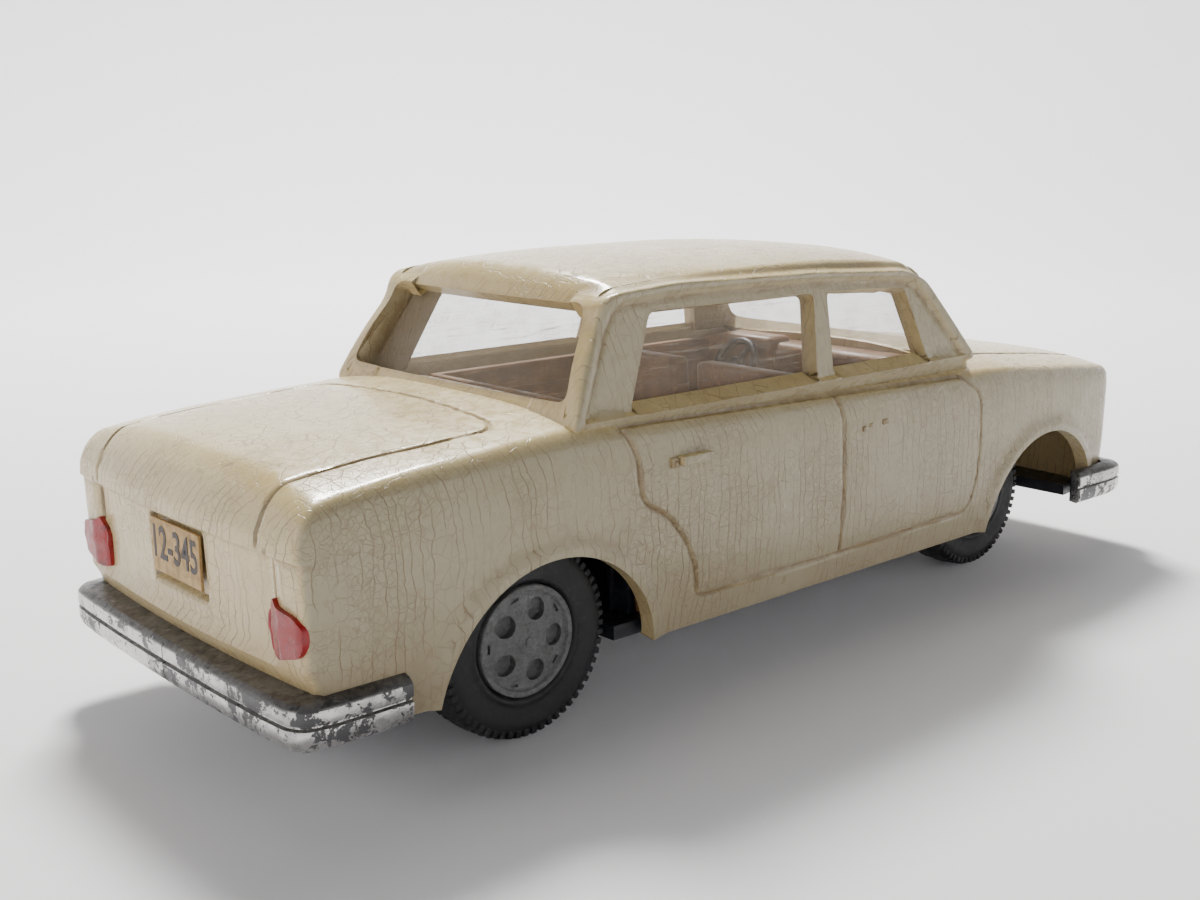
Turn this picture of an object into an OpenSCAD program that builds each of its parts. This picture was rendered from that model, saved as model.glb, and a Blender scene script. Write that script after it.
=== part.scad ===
// Toy four-door saloon: moulded body shell, clear glazing, seat tub,
// floor plate with axle bearings, bumpers, lamps and two pairs of wheels.
// +X is forward, +Y is the car's left, +Z is up. The origin is on the
// floor under the middle of the car.

/* [Overall] */
// Length over the bumpers
car_length = 125; // [104:1:150]
// Width of the body at its widest
body_width = 43; // [40:0.5:52]
// Floor to the top of the roof
roof_height = 41.9; // [39:0.5:50]
// Floor to the lower edge of the body
sill_height = 6.8; // [6:0.1:7.2]
// Floor to the belt line below the side windows
belt_height = 27.4; // [26:0.1:29]
// Thickness of the moulded body
wall = 1.8; // [1.2:0.1:2.2]

/* [Cabin] */
// Rear of the body to the foot of the rear window
boot_length = 29.8; // [25:0.5:32]
// Front of the body to the foot of the windscreen
bonnet_length = 33.0; // [28:0.5:40]
// How far the rear window leans in from foot to top
rear_lean = 5.6; // [4:0.2:8]
// How far the windscreen leans in from foot to top
screen_lean = 8.2; // [6:0.2:11]
// How far each side of the roof leans in
side_lean = 2.2; // [1:0.1:3]
// Width of the pillar between the side windows
pillar_width = 2.4; // [2:0.1:4]
// Length of the front side window at the sill
front_window = 17.0; // [12:0.5:20]
// Thickness of the clear moulding
glazing_wall = 0.9; // [0.6:0.1:1.2]

/* [Wheels] */
// Outer diameter of the tyres
tyre_diameter = 18.8; // [16:0.2:20]
// Width of a tyre
tyre_width = 5.6; // [4:0.1:6]
// Diameter of the grey wheel discs
disc_diameter = 10.4; // [9:0.2:12]
// Diameter of the steel axles
axle_diameter = 2; // [1.6:0.1:2.4]
// Rear bumper to the rear axle
rear_overhang = 25.7; // [24:0.5:31]
// Front bumper to the front axle
front_overhang = 25; // [24:0.5:30]
// Rear tyres' outer faces, in from the widest side of the body
rear_inset = 2.5; // [2.4:0.1:4]
// Front tyres' outer faces, in from the widest side of the body
front_inset = 6; // [2.4:0.1:7]
// Radius of the wheel arches
arch_radius = 12.3; // [11:0.1:13]
// Front arch centre ahead of the front axle
arch_lead = 6; // [0:0.5:6.5]
// Radial running clearance of the axles
axle_clearance = 0.05; // [0.02:0.01:0.1]
// Radial bite of the pressed wheel and tyre seats
press = 0.02; // [0.01:0.01:0.03]

/* [Bumpers] */
// How far the bumpers stand out from the body
bumper_depth = 1.2; // [0.8:0.1:2]
// Height of the bumpers
bumper_height = 4.5; // [3.5:0.1:5]
// Length of the bumpers' ends along the sides
bumper_wrap = 11.2; // [6:0.2:12]
// Depth of the groove along each bumper
bumper_groove = 0.35; // [0.2:0.05:0.6]

/* [Fittings] */
// Width of the number label
label_width = 9.4; // [6:0.2:10]
// Height of the number label
label_height = 4.9; // [3:0.1:5]
// How far the tail lamps stand out
lamp_relief = 0.6; // [0.3:0.05:1]
// Radius of the headlamps
headlamp_radius = 2.5; // [2:0.1:2.8]
// Diameter of the screws' shanks
screw_diameter = 1.6; // [1.4:0.1:2]
// Diameter of the screws' heads
screw_head = 3.4; // [3:0.1:4]
// Thickness of the floor plate
plate_thickness = 1.4; // [1:0.1:1.6]

/* [Hidden] */
$fn = 64;
eps = 0.01;
hw = body_width / 2;
xb = car_length / 2 - bumper_depth;          // body's end, from the middle
cab_r = -xb + boot_length;                   // foot of the rear window
cab_f = xb - bonnet_length;                  // foot of the windscreen
roof_edge = roof_height - 2.4;               // drip rail height
deck = belt_height + 1.9;                    // top of boot and scuttle
tyre_r = tyre_diameter / 2;
disc_r = disc_diameter / 2;
axle_r = axle_diameter / 2;
axle_z = tyre_r;
rear_x = -car_length / 2 + rear_overhang;
front_x = car_length / 2 - front_overhang;
arch_z = axle_z - 4.3;                       // centre of the arch curves
arch_rear_x = rear_x + 1.3;
arch_front_x = front_x + arch_lead;
plate_top = sill_height + plate_thickness;
screw_r = screw_diameter / 2;
post_r = screw_r + 1.7;
screws_x = [-xb + 8, min(xb - 7, front_x + 15)];
pillar_x = cab_f - 8.1 - front_window;       // front edge of the middle pillar
lamp_z0 = sill_height + 6.7;
label_z0 = belt_height - 11.4;
recess_x = -xb + 1.1;

// Moves each edge of a counter-clockwise polygon in by d.
function cross2(a, b) = a[0] * b[1] - a[1] * b[0];
function edge_dir(p, i) = let (n = len(p), v = p[(i + 1) % n] - p[i]) v / norm(v);
function edge_in(p, i, d) = let (e = edge_dir(p, i)) p[i] + d * [-e[1], e[0]];
function inset(p, d) = let (n = len(p)) [for (i = [0 : n - 1])
    let (j = (i + n - 1) % n, a = edge_in(p, j, d), u = edge_dir(p, j),
         b = edge_in(p, i, d), v = edge_dir(p, i))
    a + u * cross2(b - a, v) / cross2(u, v)];

// Lower body seen from the side, with its floor edge at z0.
function side(z0) = [
    [-xb + 2.1, z0], [xb - 1.4, z0], [xb, z0 + 4], [xb, belt_height - 7.4],
    [xb - 0.9, belt_height - 4.9], [xb - 4, belt_height - 3],
    [xb - 12, belt_height - 1], [xb - 22, belt_height + 0.5],
    [cab_f, deck - 0.5], [cab_r, deck], [cab_r - 7, deck - 0.3],
    [-xb + 10, deck - 1.2], [-xb + 4.6, belt_height - 0.3],
    [-xb + 1.9, belt_height - 1.7], [-xb + 0.5, belt_height - 3.6],
    [-xb, belt_height - 5.6], [-xb + 0.7, z0 + 7.2]];

// Lower body seen from above.
function plan() = [
    [xb, -8], [xb, 8], [xb - 0.5, hw - 5.6], [xb - 1.7, hw - 2.6],
    [xb - 4.4, hw - 0.9], [xb - 12, hw - 0.2], [xb - 22, hw],
    [-xb + 14, hw], [-xb + 4, hw - 0.2], [-xb + 1.6, hw - 1.5],
    [-xb + 0.7, hw - 4.4], [-xb, 9], [-xb, -9],
    [-xb + 0.7, -hw + 4.4], [-xb + 1.6, -hw + 1.5], [-xb + 4, -hw + 0.2],
    [-xb + 14, -hw], [xb - 22, -hw], [xb - 12, -hw + 0.2],
    [xb - 4.4, -hw + 0.9], [xb - 1.7, -hw + 2.6], [xb - 0.5, -hw + 5.6]];

// Lower body seen from the end, right half then left half.
function section(z0) = [
    [hw - 0.8, z0], [hw - 0.1, z0 + 5], [hw, belt_height - 9],
    [hw - 0.2, belt_height - 4.5], [hw - 0.9, belt_height - 1.9],
    [hw - 2.3, belt_height - 0.1], [hw - 5.5, belt_height + 1.1],
    [hw - 11, deck], [-hw + 11, deck], [-hw + 5.5, belt_height + 1.1],
    [-hw + 2.3, belt_height - 0.1], [-hw + 0.9, belt_height - 1.9],
    [-hw + 0.2, belt_height - 4.5], [-hw, belt_height - 9],
    [-hw + 0.1, z0 + 5], [-hw + 0.8, z0]];

// Cabin seen from the side and from the end, with its foot at z0.
function cab_side(z0) = [
    [cab_r - rear_lean * (deck - z0) / (roof_edge - deck), z0],
    [cab_f + screen_lean * (deck - z0) / (roof_edge - deck), z0],
    [cab_f - screen_lean + 0.6, roof_edge - 1],
    [cab_f - screen_lean - 1.6, roof_edge + 0.9],
    [cab_f - screen_lean - 8, roof_height - 0.5],
    [cab_f - screen_lean - 20, roof_height], [cab_r + rear_lean + 8, roof_height - 0.3],
    [cab_r + rear_lean + 1.6, roof_edge + 1.4],
    [cab_r + rear_lean - 0.3, roof_edge - 0.5]];
function cab_section(z0) = let (w0 = hw - 1.1, k = side_lean / (roof_edge - deck),
        w = w0 + k * (deck - z0)) [
    [w, z0], [w0 - side_lean, roof_edge], [w0 - side_lean - 1, roof_edge + 0.9],
    [w0 - side_lean - 5, roof_height - 0.6], [w0 - side_lean - 11, roof_height],
    [-w0 + side_lean + 11, roof_height], [-w0 + side_lean + 5, roof_height - 0.6],
    [-w0 + side_lean + 1, roof_edge + 0.9], [-w0 + side_lean, roof_edge], [-w, z0]];

module along_y(p, w) { rotate([90, 0, 0]) linear_extrude(w, center = true) polygon(p); }
module along_x(p, l) { rotate([90, 0, 90]) linear_extrude(l, center = true) polygon(p); }
module along_z(p, z0, z1) { translate([0, 0, z0]) linear_extrude(z1 - z0) polygon(p); }

// Lower body grown by -d, with its floor edge at z0.
module lower(d, z0) {
    intersection() {
        along_y(inset(side(z0), d), 3 * body_width);
        along_z(inset(plan(), d), z0 - 20, roof_height + 20);
        along_x(inset(section(z0), d), 3 * car_length);
    }
}
// Plain four-sided hollow inside the glazing.
module cabin_core(d, z0) {
    k = rear_lean / (roof_edge - deck);
    j = screen_lean / (roof_edge - deck);
    m = side_lean / (roof_edge - deck);
    z1 = roof_edge + 1;
    intersection() {
        along_y(inset([[cab_r - k * (deck - z0), z0], [cab_f + j * (deck - z0), z0],
            [cab_f - j * (z1 - deck), z1], [cab_r + k * (z1 - deck), z1]], d), 3 * body_width);
        along_x(inset([[hw - 1.1 + m * (deck - z0), z0], [hw - 1.1 - m * (z1 - deck), z1],
            [-hw + 1.1 + m * (z1 - deck), z1], [-hw + 1.1 - m * (deck - z0), z0]], d), 3 * car_length);
    }
}
module cabin(d, z0) {
    intersection() {
        along_y(inset(cab_side(z0), d), 3 * body_width);
        along_x(inset(cab_section(z0), d), 3 * car_length);
    }
}

// Side window outlines, seen from the side.
win_z0 = belt_height + 1.1;
win_z1 = roof_edge - 2;
function lean_r(z) = cab_r + rear_lean * (z - deck) / (roof_edge - deck);
function lean_f(z) = cab_f - screen_lean * (z - deck) / (roof_edge - deck);
rear_win = [[lean_r(win_z0) + 6.3, win_z0], [pillar_x - pillar_width, win_z0],
    [pillar_x - pillar_width + 0.9, win_z1], [lean_r(win_z1) + 5.8, win_z1]];
front_win = [[pillar_x, win_z0], [lean_f(win_z0) - 8.4, win_z0],
    [lean_f(win_z1) - 3.8, win_z1], [pillar_x + 0.9, win_z1]];

module windows() {
    along_y(rear_win, 2 * body_width);
    along_y(front_win, 2 * body_width);
    // rear window and windscreen
    intersection() {
        along_x([[hw - 3.6, deck + 0.9], [hw - 6.1, roof_edge - 1.1],
            [-hw + 6.1, roof_edge - 1.1], [-hw + 3.6, deck + 0.9]], 3 * car_length);
        union() {
            translate([cab_r - 5, -hw, 0]) cube([rear_lean + 5.5, body_width, 60]);
            translate([cab_f - screen_lean - 1, -hw, 0]) cube([screen_lean + 5, body_width, 60]);
        }
    }
}

module arches() {
    for (x = [arch_rear_x, arch_front_x])
        translate([x, 0, arch_z]) rotate([90, 0, 0])
            cylinder(r = arch_radius, h = 2 * body_width, center = true, $fn = 96);
}

// The two screw posts, from the floor plate up into the shell.
module posts() {
    for (x = screws_x) translate([x, 0, plate_top]) cylinder(r = post_r, h = 30);
}

// Tail lamp outline, seen from behind, on the side s.
module lamp_block(s) {
    translate([-xb, 0, 0])
    rotate([90, 0, 90]) linear_extrude(9, center = true)
        polygon([for (p = [[hw - 5.9, lamp_z0], [hw + 2, lamp_z0 + 0.8],
            [hw + 2, lamp_z0 + 3.4], [hw - 1.3, lamp_z0 + 4.1],
            [hw - 4.8, lamp_z0 + 5], [hw - 6.1, lamp_z0 + 3.2]]) [s * p[0], p[1]]]);
}

module handle(x) {
    for (s = [-1, 1]) translate([x, s * (hw - 0.4), belt_height - 3.6]) {
        translate([0.2, -0.9, 0]) cube([0.9, 1.8, 0.8]);
        translate([4, -0.9, 0]) cube([0.9, 1.8, 0.8]);
        translate([-0.2, s > 0 ? 0.7 : -1.2, 0]) cube([5.4, 0.5, 0.8]);
    }
}

module body_shell() color("ivory") {
    difference() {
        union() {
            lower(0, sill_height);
            cabin(0, belt_height - 3);
        }
        lower(wall, sill_height - 12);
        cabin(wall, belt_height - 9);
        windows();
        arches();
        // recess of the number label
        translate([-xb - 3, -label_width / 2 - 0.3, label_z0 - 0.9])
            cube([3 + 1.1, label_width + 0.6, label_height + 1.2]);
        // pockets of the headlamps
        for (s = [-1, 1]) translate([xb - 1.7, s * (hw - 6), belt_height - 9.8])
            rotate([0, 90, 0]) cylinder(r = headlamp_radius + 0.1, h = 4);
    }
    difference() {
        intersection() {
            posts();
            lower(wall / 2, sill_height);
        }
        for (x = screws_x) translate([x, 0, plate_top - 1])
            cylinder(r = screw_r - press, h = 8);
    }
    handle(pillar_x - pillar_width - 22.2);
    handle(pillar_x + 3);
}

module window_glazing() color("lightcyan", 0.35) {
    intersection() {
        difference() {
            cabin(wall, belt_height - 9);
            cabin_core(wall + glazing_wall, belt_height - 14);
        }
        translate([-car_length / 2, -hw, belt_height - 1.2])
            cube([car_length, body_width, 40]);
    }
}

// Seat tub: floor, side walls, rear bench, two front seats, rear shelf, dash.
tub_w = hw - wall - 1.6;
tub_x0 = max(rear_x + tyre_r + 1.2, cab_r + 4);
tub_x1 = front_x - tyre_r - 1.2;
tub_top = belt_height - 1.6;
seat_x = pillar_x - 0.5;

module seat(x, y, w) {
    translate([x, y - w / 2, plate_top + 1]) cube([8.5, w, 6]);
    rotate([90, 0, 0]) translate([0, 0, -y - w / 2]) linear_extrude(w)
        polygon([[x, plate_top + 1], [x + 2.8, plate_top + 1], [x + 2.2, tub_top + 1.6],
            [x + 1.4, tub_top + 2.2], [x - 0.2, tub_top + 2.2], [x - 0.8, tub_top + 1.4]]);
}

module interior_tub() color("saddlebrown") {
    difference() {
        translate([tub_x0, -tub_w, plate_top]) cube([tub_x1 - tub_x0, 2 * tub_w, tub_top - plate_top]);
        translate([tub_x0 + 1, -tub_w + 1, plate_top + 1])
            cube([tub_x1 - tub_x0 - 2, 2 * tub_w - 2, 40]);
    }
    seat(tub_x0 + 2.2, 0, 2 * tub_w - 2);
    for (s = [-1, 1]) seat(seat_x, s * tub_w / 2, tub_w - 3);
    // shelf behind the rear bench
    translate([cab_r - 1.5, -tub_w, tub_top - 1])
        cube([tub_x0 - cab_r + 2.5, 2 * tub_w, 1]);
    // dash
    translate([tub_x1 - 5, -tub_w, tub_top - 5]) cube([5, 2 * tub_w, 5]);
}

module steering_wheel() color([0.05, 0.06, 0.1]) {
    translate([tub_x1 - 5, tub_w / 2, tub_top - 2]) rotate([0, -62, 0]) {
        cylinder(r = 0.6, h = 3.4, $fn = 24);
        translate([0, 0, 3]) rotate_extrude($fn = 48) translate([3.1, 0]) circle(r = 0.5, $fn = 16);
        for (a = [90, 210, 330]) rotate([0, 0, a]) translate([0, -0.35, 2.7]) cube([3, 0.7, 0.6]);
    }
}

bearing_y = [hw - rear_inset - tyre_width - 0.8, hw - front_inset - tyre_width - 0.8];

module base_plate() color([0.06, 0.06, 0.07]) {
    difference() {
        union() {
            intersection() {
                along_z(inset(plan(), wall + 0.9), sill_height, plate_top);
                translate([-xb + 3.2, -hw, 0]) cube([2 * xb - 5.8, body_width, 40]);
            }
            for (i = [0, 1]) for (s = [-1, 1])
                translate([[rear_x, front_x][i] - 3, s * (bearing_y[i] - 1.6) - 1.6, plate_top - eps])
                    cube([6, 3.2, axle_z + axle_r + 1.6 - plate_top]);
        }
        // wheel openings
        for (s = [-1, 1]) {
            translate([rear_x - tyre_r - 1, s > 0 ? bearing_y[0] + 0.2 : -hw, 0])
                cube([2 * tyre_r + 2, hw - bearing_y[0] - 0.2, 30]);
            translate([front_x - tyre_r - 1, s > 0 ? bearing_y[1] + 0.2 : -hw, 0])
                cube([2 * tyre_r + 1.5 + arch_lead, hw - bearing_y[1] - 0.2, 30]);
        }
        for (x = [rear_x, front_x]) translate([x, 0, axle_z]) rotate([90, 0, 0])
            cylinder(r = axle_r + axle_clearance, h = body_width, center = true);
        for (x = screws_x) translate([x, 0, 0]) {
            cylinder(r = screw_r + 0.1, h = 20);
            cylinder(r = screw_head / 2 + 0.1, h = sill_height + 0.8);
        }
    }
}

module base_screws() color("silver") {
    for (x = screws_x) translate([x, 0, sill_height]) {
        difference() {
            cylinder(r = screw_head / 2, h = 0.8);
            translate([-screw_head, -0.2, -1]) cube([2 * screw_head, 0.4, 1.4]);
        }
        cylinder(r = screw_r, h = plate_thickness + 6);
    }
}

// A bumper at the end s: a band round the body's corner, with a groove.
module bumper(s, wrap) {
    z0 = sill_height + 0.1;
    z1 = z0 + bumper_height;
    difference() {
        intersection() {
            along_z(inset(plan(), -bumper_depth), z0, z1);
            translate([s > 0 ? xb + bumper_depth - wrap : -xb - bumper_depth - 1, -body_width, 0])
                cube([wrap + 1, 2 * body_width, 40]);
        }
        // groove all round, just below the middle
        difference() {
            translate([-car_length, -body_width, z0 + bumper_height * 0.46])
                cube([2 * car_length, 2 * body_width, 0.5]);
            along_z(inset(plan(), -bumper_depth + bumper_groove), z0 - 1, z1 + 1);
        }
        lower(0, sill_height);
    }
}

module front_grille() color("silver") {
    w = hw - 10;
    z0 = belt_height - 12.6;
    difference() {
        translate([xb, -w, z0]) cube([0.6, 2 * w, 5.4]);
        for (i = [0 : 3]) translate([xb + 0.25, -w + 0.6, z0 + 0.6 + i * 1.15]) cube([1, 2 * w - 1.2, 0.6]);
    }
}

module headlamp(s) color("whitesmoke") {
    translate([xb - 1.7, s * (hw - 6), belt_height - 9.8]) rotate([0, 90, 0])
        cylinder(r = headlamp_radius, h = 1.9);
}

module tail_lamp(s) color("firebrick") {
    difference() {
        intersection() {
            lamp_block(s);
            lower(-lamp_relief, sill_height);
        }
        lower(0, sill_height);
    }
}

module rear_plate_label() color("goldenrod") {
    translate([-xb + 0.8, -label_width / 2, label_z0])
        cube([0.3, label_width, label_height]);
}

module axle(x, inset_y) color("silver") {
    translate([x, 0, axle_z]) rotate([90, 0, 0])
        cylinder(r = axle_r, h = 2 * (hw - inset_y - 1.6), center = true);
}

// A wheel on the side s of the axle at x, drawn along its own axis.
module at_wheel(x, s, inset_y) {
    translate([x, s * (hw - inset_y - tyre_width), axle_z]) rotate([s > 0 ? -90 : 90, 0, 0]) children();
}

module wheel_disc(x, s, inset_y) color("dimgray") {
    at_wheel(x, s, inset_y) difference() {
        rotate_extrude() polygon([[0, 0], [disc_r, 0], [disc_r, tyre_width - 0.1],
            [disc_r - 0.5, tyre_width], [disc_r - 0.9, tyre_width - 0.5],
            [1.9, tyre_width - 0.2], [1.5, tyre_width], [0, tyre_width]]);
        translate([0, 0, -1]) cylinder(r = axle_r - press, h = tyre_width - 0.6);
        for (a = [0 : 4]) rotate([0, 0, 72 * a + 18]) translate([disc_r * 0.6, 0, tyre_width - 0.9])
            cylinder(r = disc_r * 0.17, h = 3, $fn = 32);
    }
}

module tyre(x, s, inset_y) color([0.07, 0.07, 0.07]) {
    at_wheel(x, s, inset_y) rotate_extrude($fn = 96) polygon([
        [disc_r - press, 0.2], [tyre_r - 1.4, 0], [tyre_r - 0.3, 0.5], [tyre_r, 1.2],
        [tyre_r, tyre_width - 1.2], [tyre_r - 0.3, tyre_width - 0.5],
        [tyre_r - 1.4, tyre_width], [disc_r + 0.5, tyre_width - 0.1],
        [disc_r - press, tyre_width - 0.5]]);
}

body_shell();
window_glazing();
interior_tub();
steering_wheel();
base_plate();
base_screws();
color("black") bumper(-1, bumper_wrap);  // rear_bumper
color("black") bumper(1, bumper_wrap - 5);  // front_bumper
front_grille();
headlamp(1);  // headlamp_left
headlamp(-1);  // headlamp_right
tail_lamp(1);  // tail_lamp_left
tail_lamp(-1);  // tail_lamp_right
rear_plate_label();
axle(front_x, front_inset);  // front_axle
axle(rear_x, rear_inset);  // rear_axle
wheel_disc(front_x, 1, front_inset);  // wheel_disc_front_left
wheel_disc(front_x, -1, front_inset);  // wheel_disc_front_right
wheel_disc(rear_x, 1, rear_inset);  // wheel_disc_rear_left
wheel_disc(rear_x, -1, rear_inset);  // wheel_disc_rear_right
tyre(front_x, 1, front_inset);  // tyre_front_left
tyre(front_x, -1, front_inset);  // tyre_front_right
tyre(rear_x, 1, rear_inset);  // tyre_rear_left
tyre(rear_x, -1, rear_inset);  // tyre_rear_right
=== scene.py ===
"""Toy four-door saloon in aged cream plastic: the visual model around its CAD frame."""

import math

import bpy
import numpy as np
from mathutils import Matrix, Vector


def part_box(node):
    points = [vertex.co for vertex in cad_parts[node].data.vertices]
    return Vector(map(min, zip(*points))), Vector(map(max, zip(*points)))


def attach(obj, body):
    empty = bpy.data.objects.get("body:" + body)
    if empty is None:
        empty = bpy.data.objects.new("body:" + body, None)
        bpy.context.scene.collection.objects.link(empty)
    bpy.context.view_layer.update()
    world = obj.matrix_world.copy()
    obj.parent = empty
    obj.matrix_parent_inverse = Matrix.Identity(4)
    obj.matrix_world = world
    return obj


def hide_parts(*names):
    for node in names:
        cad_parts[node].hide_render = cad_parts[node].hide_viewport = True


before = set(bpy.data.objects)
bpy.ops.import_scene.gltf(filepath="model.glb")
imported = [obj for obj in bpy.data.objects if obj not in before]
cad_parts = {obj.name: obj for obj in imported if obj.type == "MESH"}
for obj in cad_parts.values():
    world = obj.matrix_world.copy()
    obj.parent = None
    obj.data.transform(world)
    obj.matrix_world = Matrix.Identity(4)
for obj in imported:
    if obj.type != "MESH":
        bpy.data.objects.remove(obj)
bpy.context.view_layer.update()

bl_info = {
    "name": "Toy Saloon Workshop",
    "version": (1, 0, 0),
    "blender": (4, 5, 0),
    "location": "3D View > Sidebar > Toy Saloon",
    "description": "Builds a worn toy saloon piece by piece around its CAD frame",
    "category": "Add Mesh",
}

MM = 0.001


def node_mm(node):
    lo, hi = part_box(node)
    return np.array(lo) / MM, np.array(hi) / MM


SHELL_LO, SHELL_HI = node_mm("body_shell")
TYRE_REAR_LO, TYRE_REAR_HI = node_mm("tyre_rear_right")
TYRE_FRONT_LO, TYRE_FRONT_HI = node_mm("tyre_front_right")
DISC_LO, DISC_HI = node_mm("wheel_disc_rear_right")
BUMPER_LO, BUMPER_HI = node_mm("rear_bumper")
FRONT_BUMPER_LO, FRONT_BUMPER_HI = node_mm("front_bumper")
TUB_FLOOR = node_mm("interior_tub")[0][2]
BODY_END = float(SHELL_HI[0])
HALF = 21.5
FLANK_Y = 17  # points further out than this are on the flanks of the lower body
PILLAR_Y = 13  # and these on the sides of the cabin
BACK_X = -57  # points behind this are on the tail
FAR = 1e3  # stands for "no line near"
SILL = float(SHELL_LO[2])
ROOF = float(SHELL_HI[2])
AXLE_Z = float(TYRE_REAR_HI[2]) / 2
REAR_X = float(TYRE_REAR_LO[0] + TYRE_REAR_HI[0]) / 2
FRONT_X = float(TYRE_FRONT_LO[0] + TYRE_FRONT_HI[0]) / 2


# Sizes and colours a user would change


def length(name, text, default, **more):
    return bpy.props.FloatProperty(
        name=name, description=text, default=default, unit="LENGTH", precision=5, **more
    )


def colour(name, text, default):
    return bpy.props.FloatVectorProperty(
        name=name, description=text, default=default, subtype="COLOR", size=3, min=0, max=1
    )


class SaloonBodySizes(bpy.types.PropertyGroup):
    """Sizes of the moulded body."""

    wall: length("Wall", "Thickness of the moulded body", 0.0018)
    groove_depth: length("Groove depth", "Depth of the engraved door and lid lines", 0.00026)
    groove_width: length("Groove width", "Half width of the engraved lines", 0.00026)
    lip: length("Arch lip", "How far the rolled arch lips stand out", 0.00045)
    rail: length("Drip rail", "How far the drip rail stands out", 0.00062)
    arch_radius: length("Arch radius", "Radius of the wheel arches", 0.0123)


class SaloonWheelSizes(bpy.types.PropertyGroup):
    """Sizes of the wheels."""

    nubs: bpy.props.IntProperty(
        name="Tread nubs", description="Rubber nubs round each shoulder", default=60, min=12
    )
    recess_depth: length("Recess depth", "Depth of the round recesses in a disc", 0.00080)
    boss_radius: length("Boss radius", "Radius of the middle boss", 0.00118)


class SaloonColours(bpy.types.PropertyGroup):
    """Colours of the finishes."""

    cream: colour("Cream", "Moulded body plastic", (0.640, 0.550, 0.345))
    yellowed: colour("Yellowed", "Aged patches of the body", (0.500, 0.360, 0.165))
    # This colour also paints the shadow under the boot lid's lip, through the marks stored on the body.
    grime: colour("Grime", "Dirt in lines and corners", (0.120, 0.070, 0.030))
    foil: colour("Foil", "Silver foil on the bumpers", (0.560, 0.545, 0.530))
    black: colour("Black plastic", "Bare bumper and floor plastic", (0.010, 0.011, 0.016))
    lamp: colour("Lamp red", "Paint on the tail lamps", (0.235, 0.004, 0.006))
    disc: colour("Disc grey", "Wheel disc plastic", (0.165, 0.168, 0.170))
    brown: colour("Seat brown", "Seat tub plastic", (0.175, 0.085, 0.034))
    card: colour("Label tan", "Number label", (0.520, 0.330, 0.130))


def body_sizes():
    return bpy.context.scene.saloon_body


def wheel_sizes():
    return bpy.context.scene.saloon_wheels


def colours():
    return bpy.context.scene.saloon_colours


# Modelling helpers. Pieces are modelled in millimetres and finished in metres.


def deselect():
    if bpy.context.object and bpy.context.object.mode != "OBJECT":
        bpy.ops.object.mode_set(mode="OBJECT")
    bpy.ops.object.select_all(action="DESELECT")


def only(obj):
    deselect()
    obj.select_set(True)
    bpy.context.view_layer.objects.active = obj
    return obj


def edit(obj, kind="FACE"):
    only(obj)
    bpy.ops.object.mode_set(mode="EDIT")
    bpy.ops.mesh.select_mode(type=kind)
    bpy.ops.mesh.select_all(action="SELECT")


def leave():
    bpy.ops.object.mode_set(mode="OBJECT")


def coords(obj):
    co = np.empty(len(obj.data.vertices) * 3)
    obj.data.vertices.foreach_get("co", co)
    return co.reshape(-1, 3)


def set_coords(obj, co):
    obj.data.vertices.foreach_set("co", np.asarray(co, float).ravel())
    obj.data.update()


def face_centres(obj):
    c = np.empty(len(obj.data.polygons) * 3)
    obj.data.polygons.foreach_get("center", c)
    return c.reshape(-1, 3)


def pick_faces(obj, mask):
    deselect()
    obj.data.vertices.foreach_set("select", np.zeros(len(obj.data.vertices), bool))
    obj.data.edges.foreach_set("select", np.zeros(len(obj.data.edges), bool))
    obj.data.polygons.foreach_set("select", np.asarray(mask, bool))
    only(obj)
    bpy.ops.object.mode_set(mode="EDIT")
    bpy.ops.mesh.select_mode(type="FACE")


def block(name, lo, hi):
    """A cuboid from corner to corner."""
    deselect()
    lo, hi = np.array(lo, float), np.array(hi, float)
    bpy.ops.mesh.primitive_cube_add(size=1, location=(lo + hi) / 2, scale=hi - lo)
    obj = bpy.context.object
    obj.name = obj.data.name = name
    bpy.ops.object.transform_apply(location=True, rotation=True, scale=True)
    return obj


def rod(name, radius, depth, centre, axis="Z", sides=48, radius2=None):
    """A cylinder or cone frustum along an axis."""
    deselect()
    turn = {"X": (0, math.pi / 2, 0), "Y": (math.pi / 2, 0, 0), "Z": (0, 0, 0)}[axis]
    if radius2 is None:
        bpy.ops.mesh.primitive_cylinder_add(
            vertices=sides, radius=radius, depth=depth, location=centre, rotation=turn
        )
    else:
        bpy.ops.mesh.primitive_cone_add(
            vertices=sides, radius1=radius, radius2=radius2, depth=depth, location=centre, rotation=turn
        )
    obj = bpy.context.object
    obj.name = obj.data.name = name
    bpy.ops.object.transform_apply(location=True, rotation=True, scale=True)
    return obj


def cut_planes(obj, axis, places):
    """Cuts the whole mesh at each place along an axis."""
    normal = [0, 0, 0]
    normal[axis] = 1
    edit(obj)
    for p in places:
        at = [0, 0, 0]
        at[axis] = float(p)
        bpy.ops.mesh.select_all(action="SELECT")
        bpy.ops.mesh.bisect(plane_co=at, plane_no=normal, threshold=1e-6)
    leave()


def modifier(obj, kind, **values):
    only(obj)
    m = obj.modifiers.new(kind.title(), kind)
    for k, v in values.items():
        setattr(m, k, v)
    bpy.ops.object.modifier_apply(modifier=m.name)
    return obj


def boolean(obj, tool, operation="DIFFERENCE"):
    modifier(obj, "BOOLEAN", object=tool, operation=operation, solver="EXACT")
    bpy.data.objects.remove(tool, do_unlink=True)
    return obj


def bevel(obj, width, segments=3, angle=35):
    modifier(
        obj, "BEVEL", width=width, segments=segments, limit_method="ANGLE",
        angle_limit=math.radians(angle), harden_normals=False,
    )
    return obj


def join(name, objs):
    deselect()
    for o in objs:
        o.select_set(True)
    bpy.context.view_layer.objects.active = objs[0]
    if len(objs) > 1:
        bpy.ops.object.join()
    obj = bpy.context.object
    obj.name = obj.data.name = name
    return obj


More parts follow.
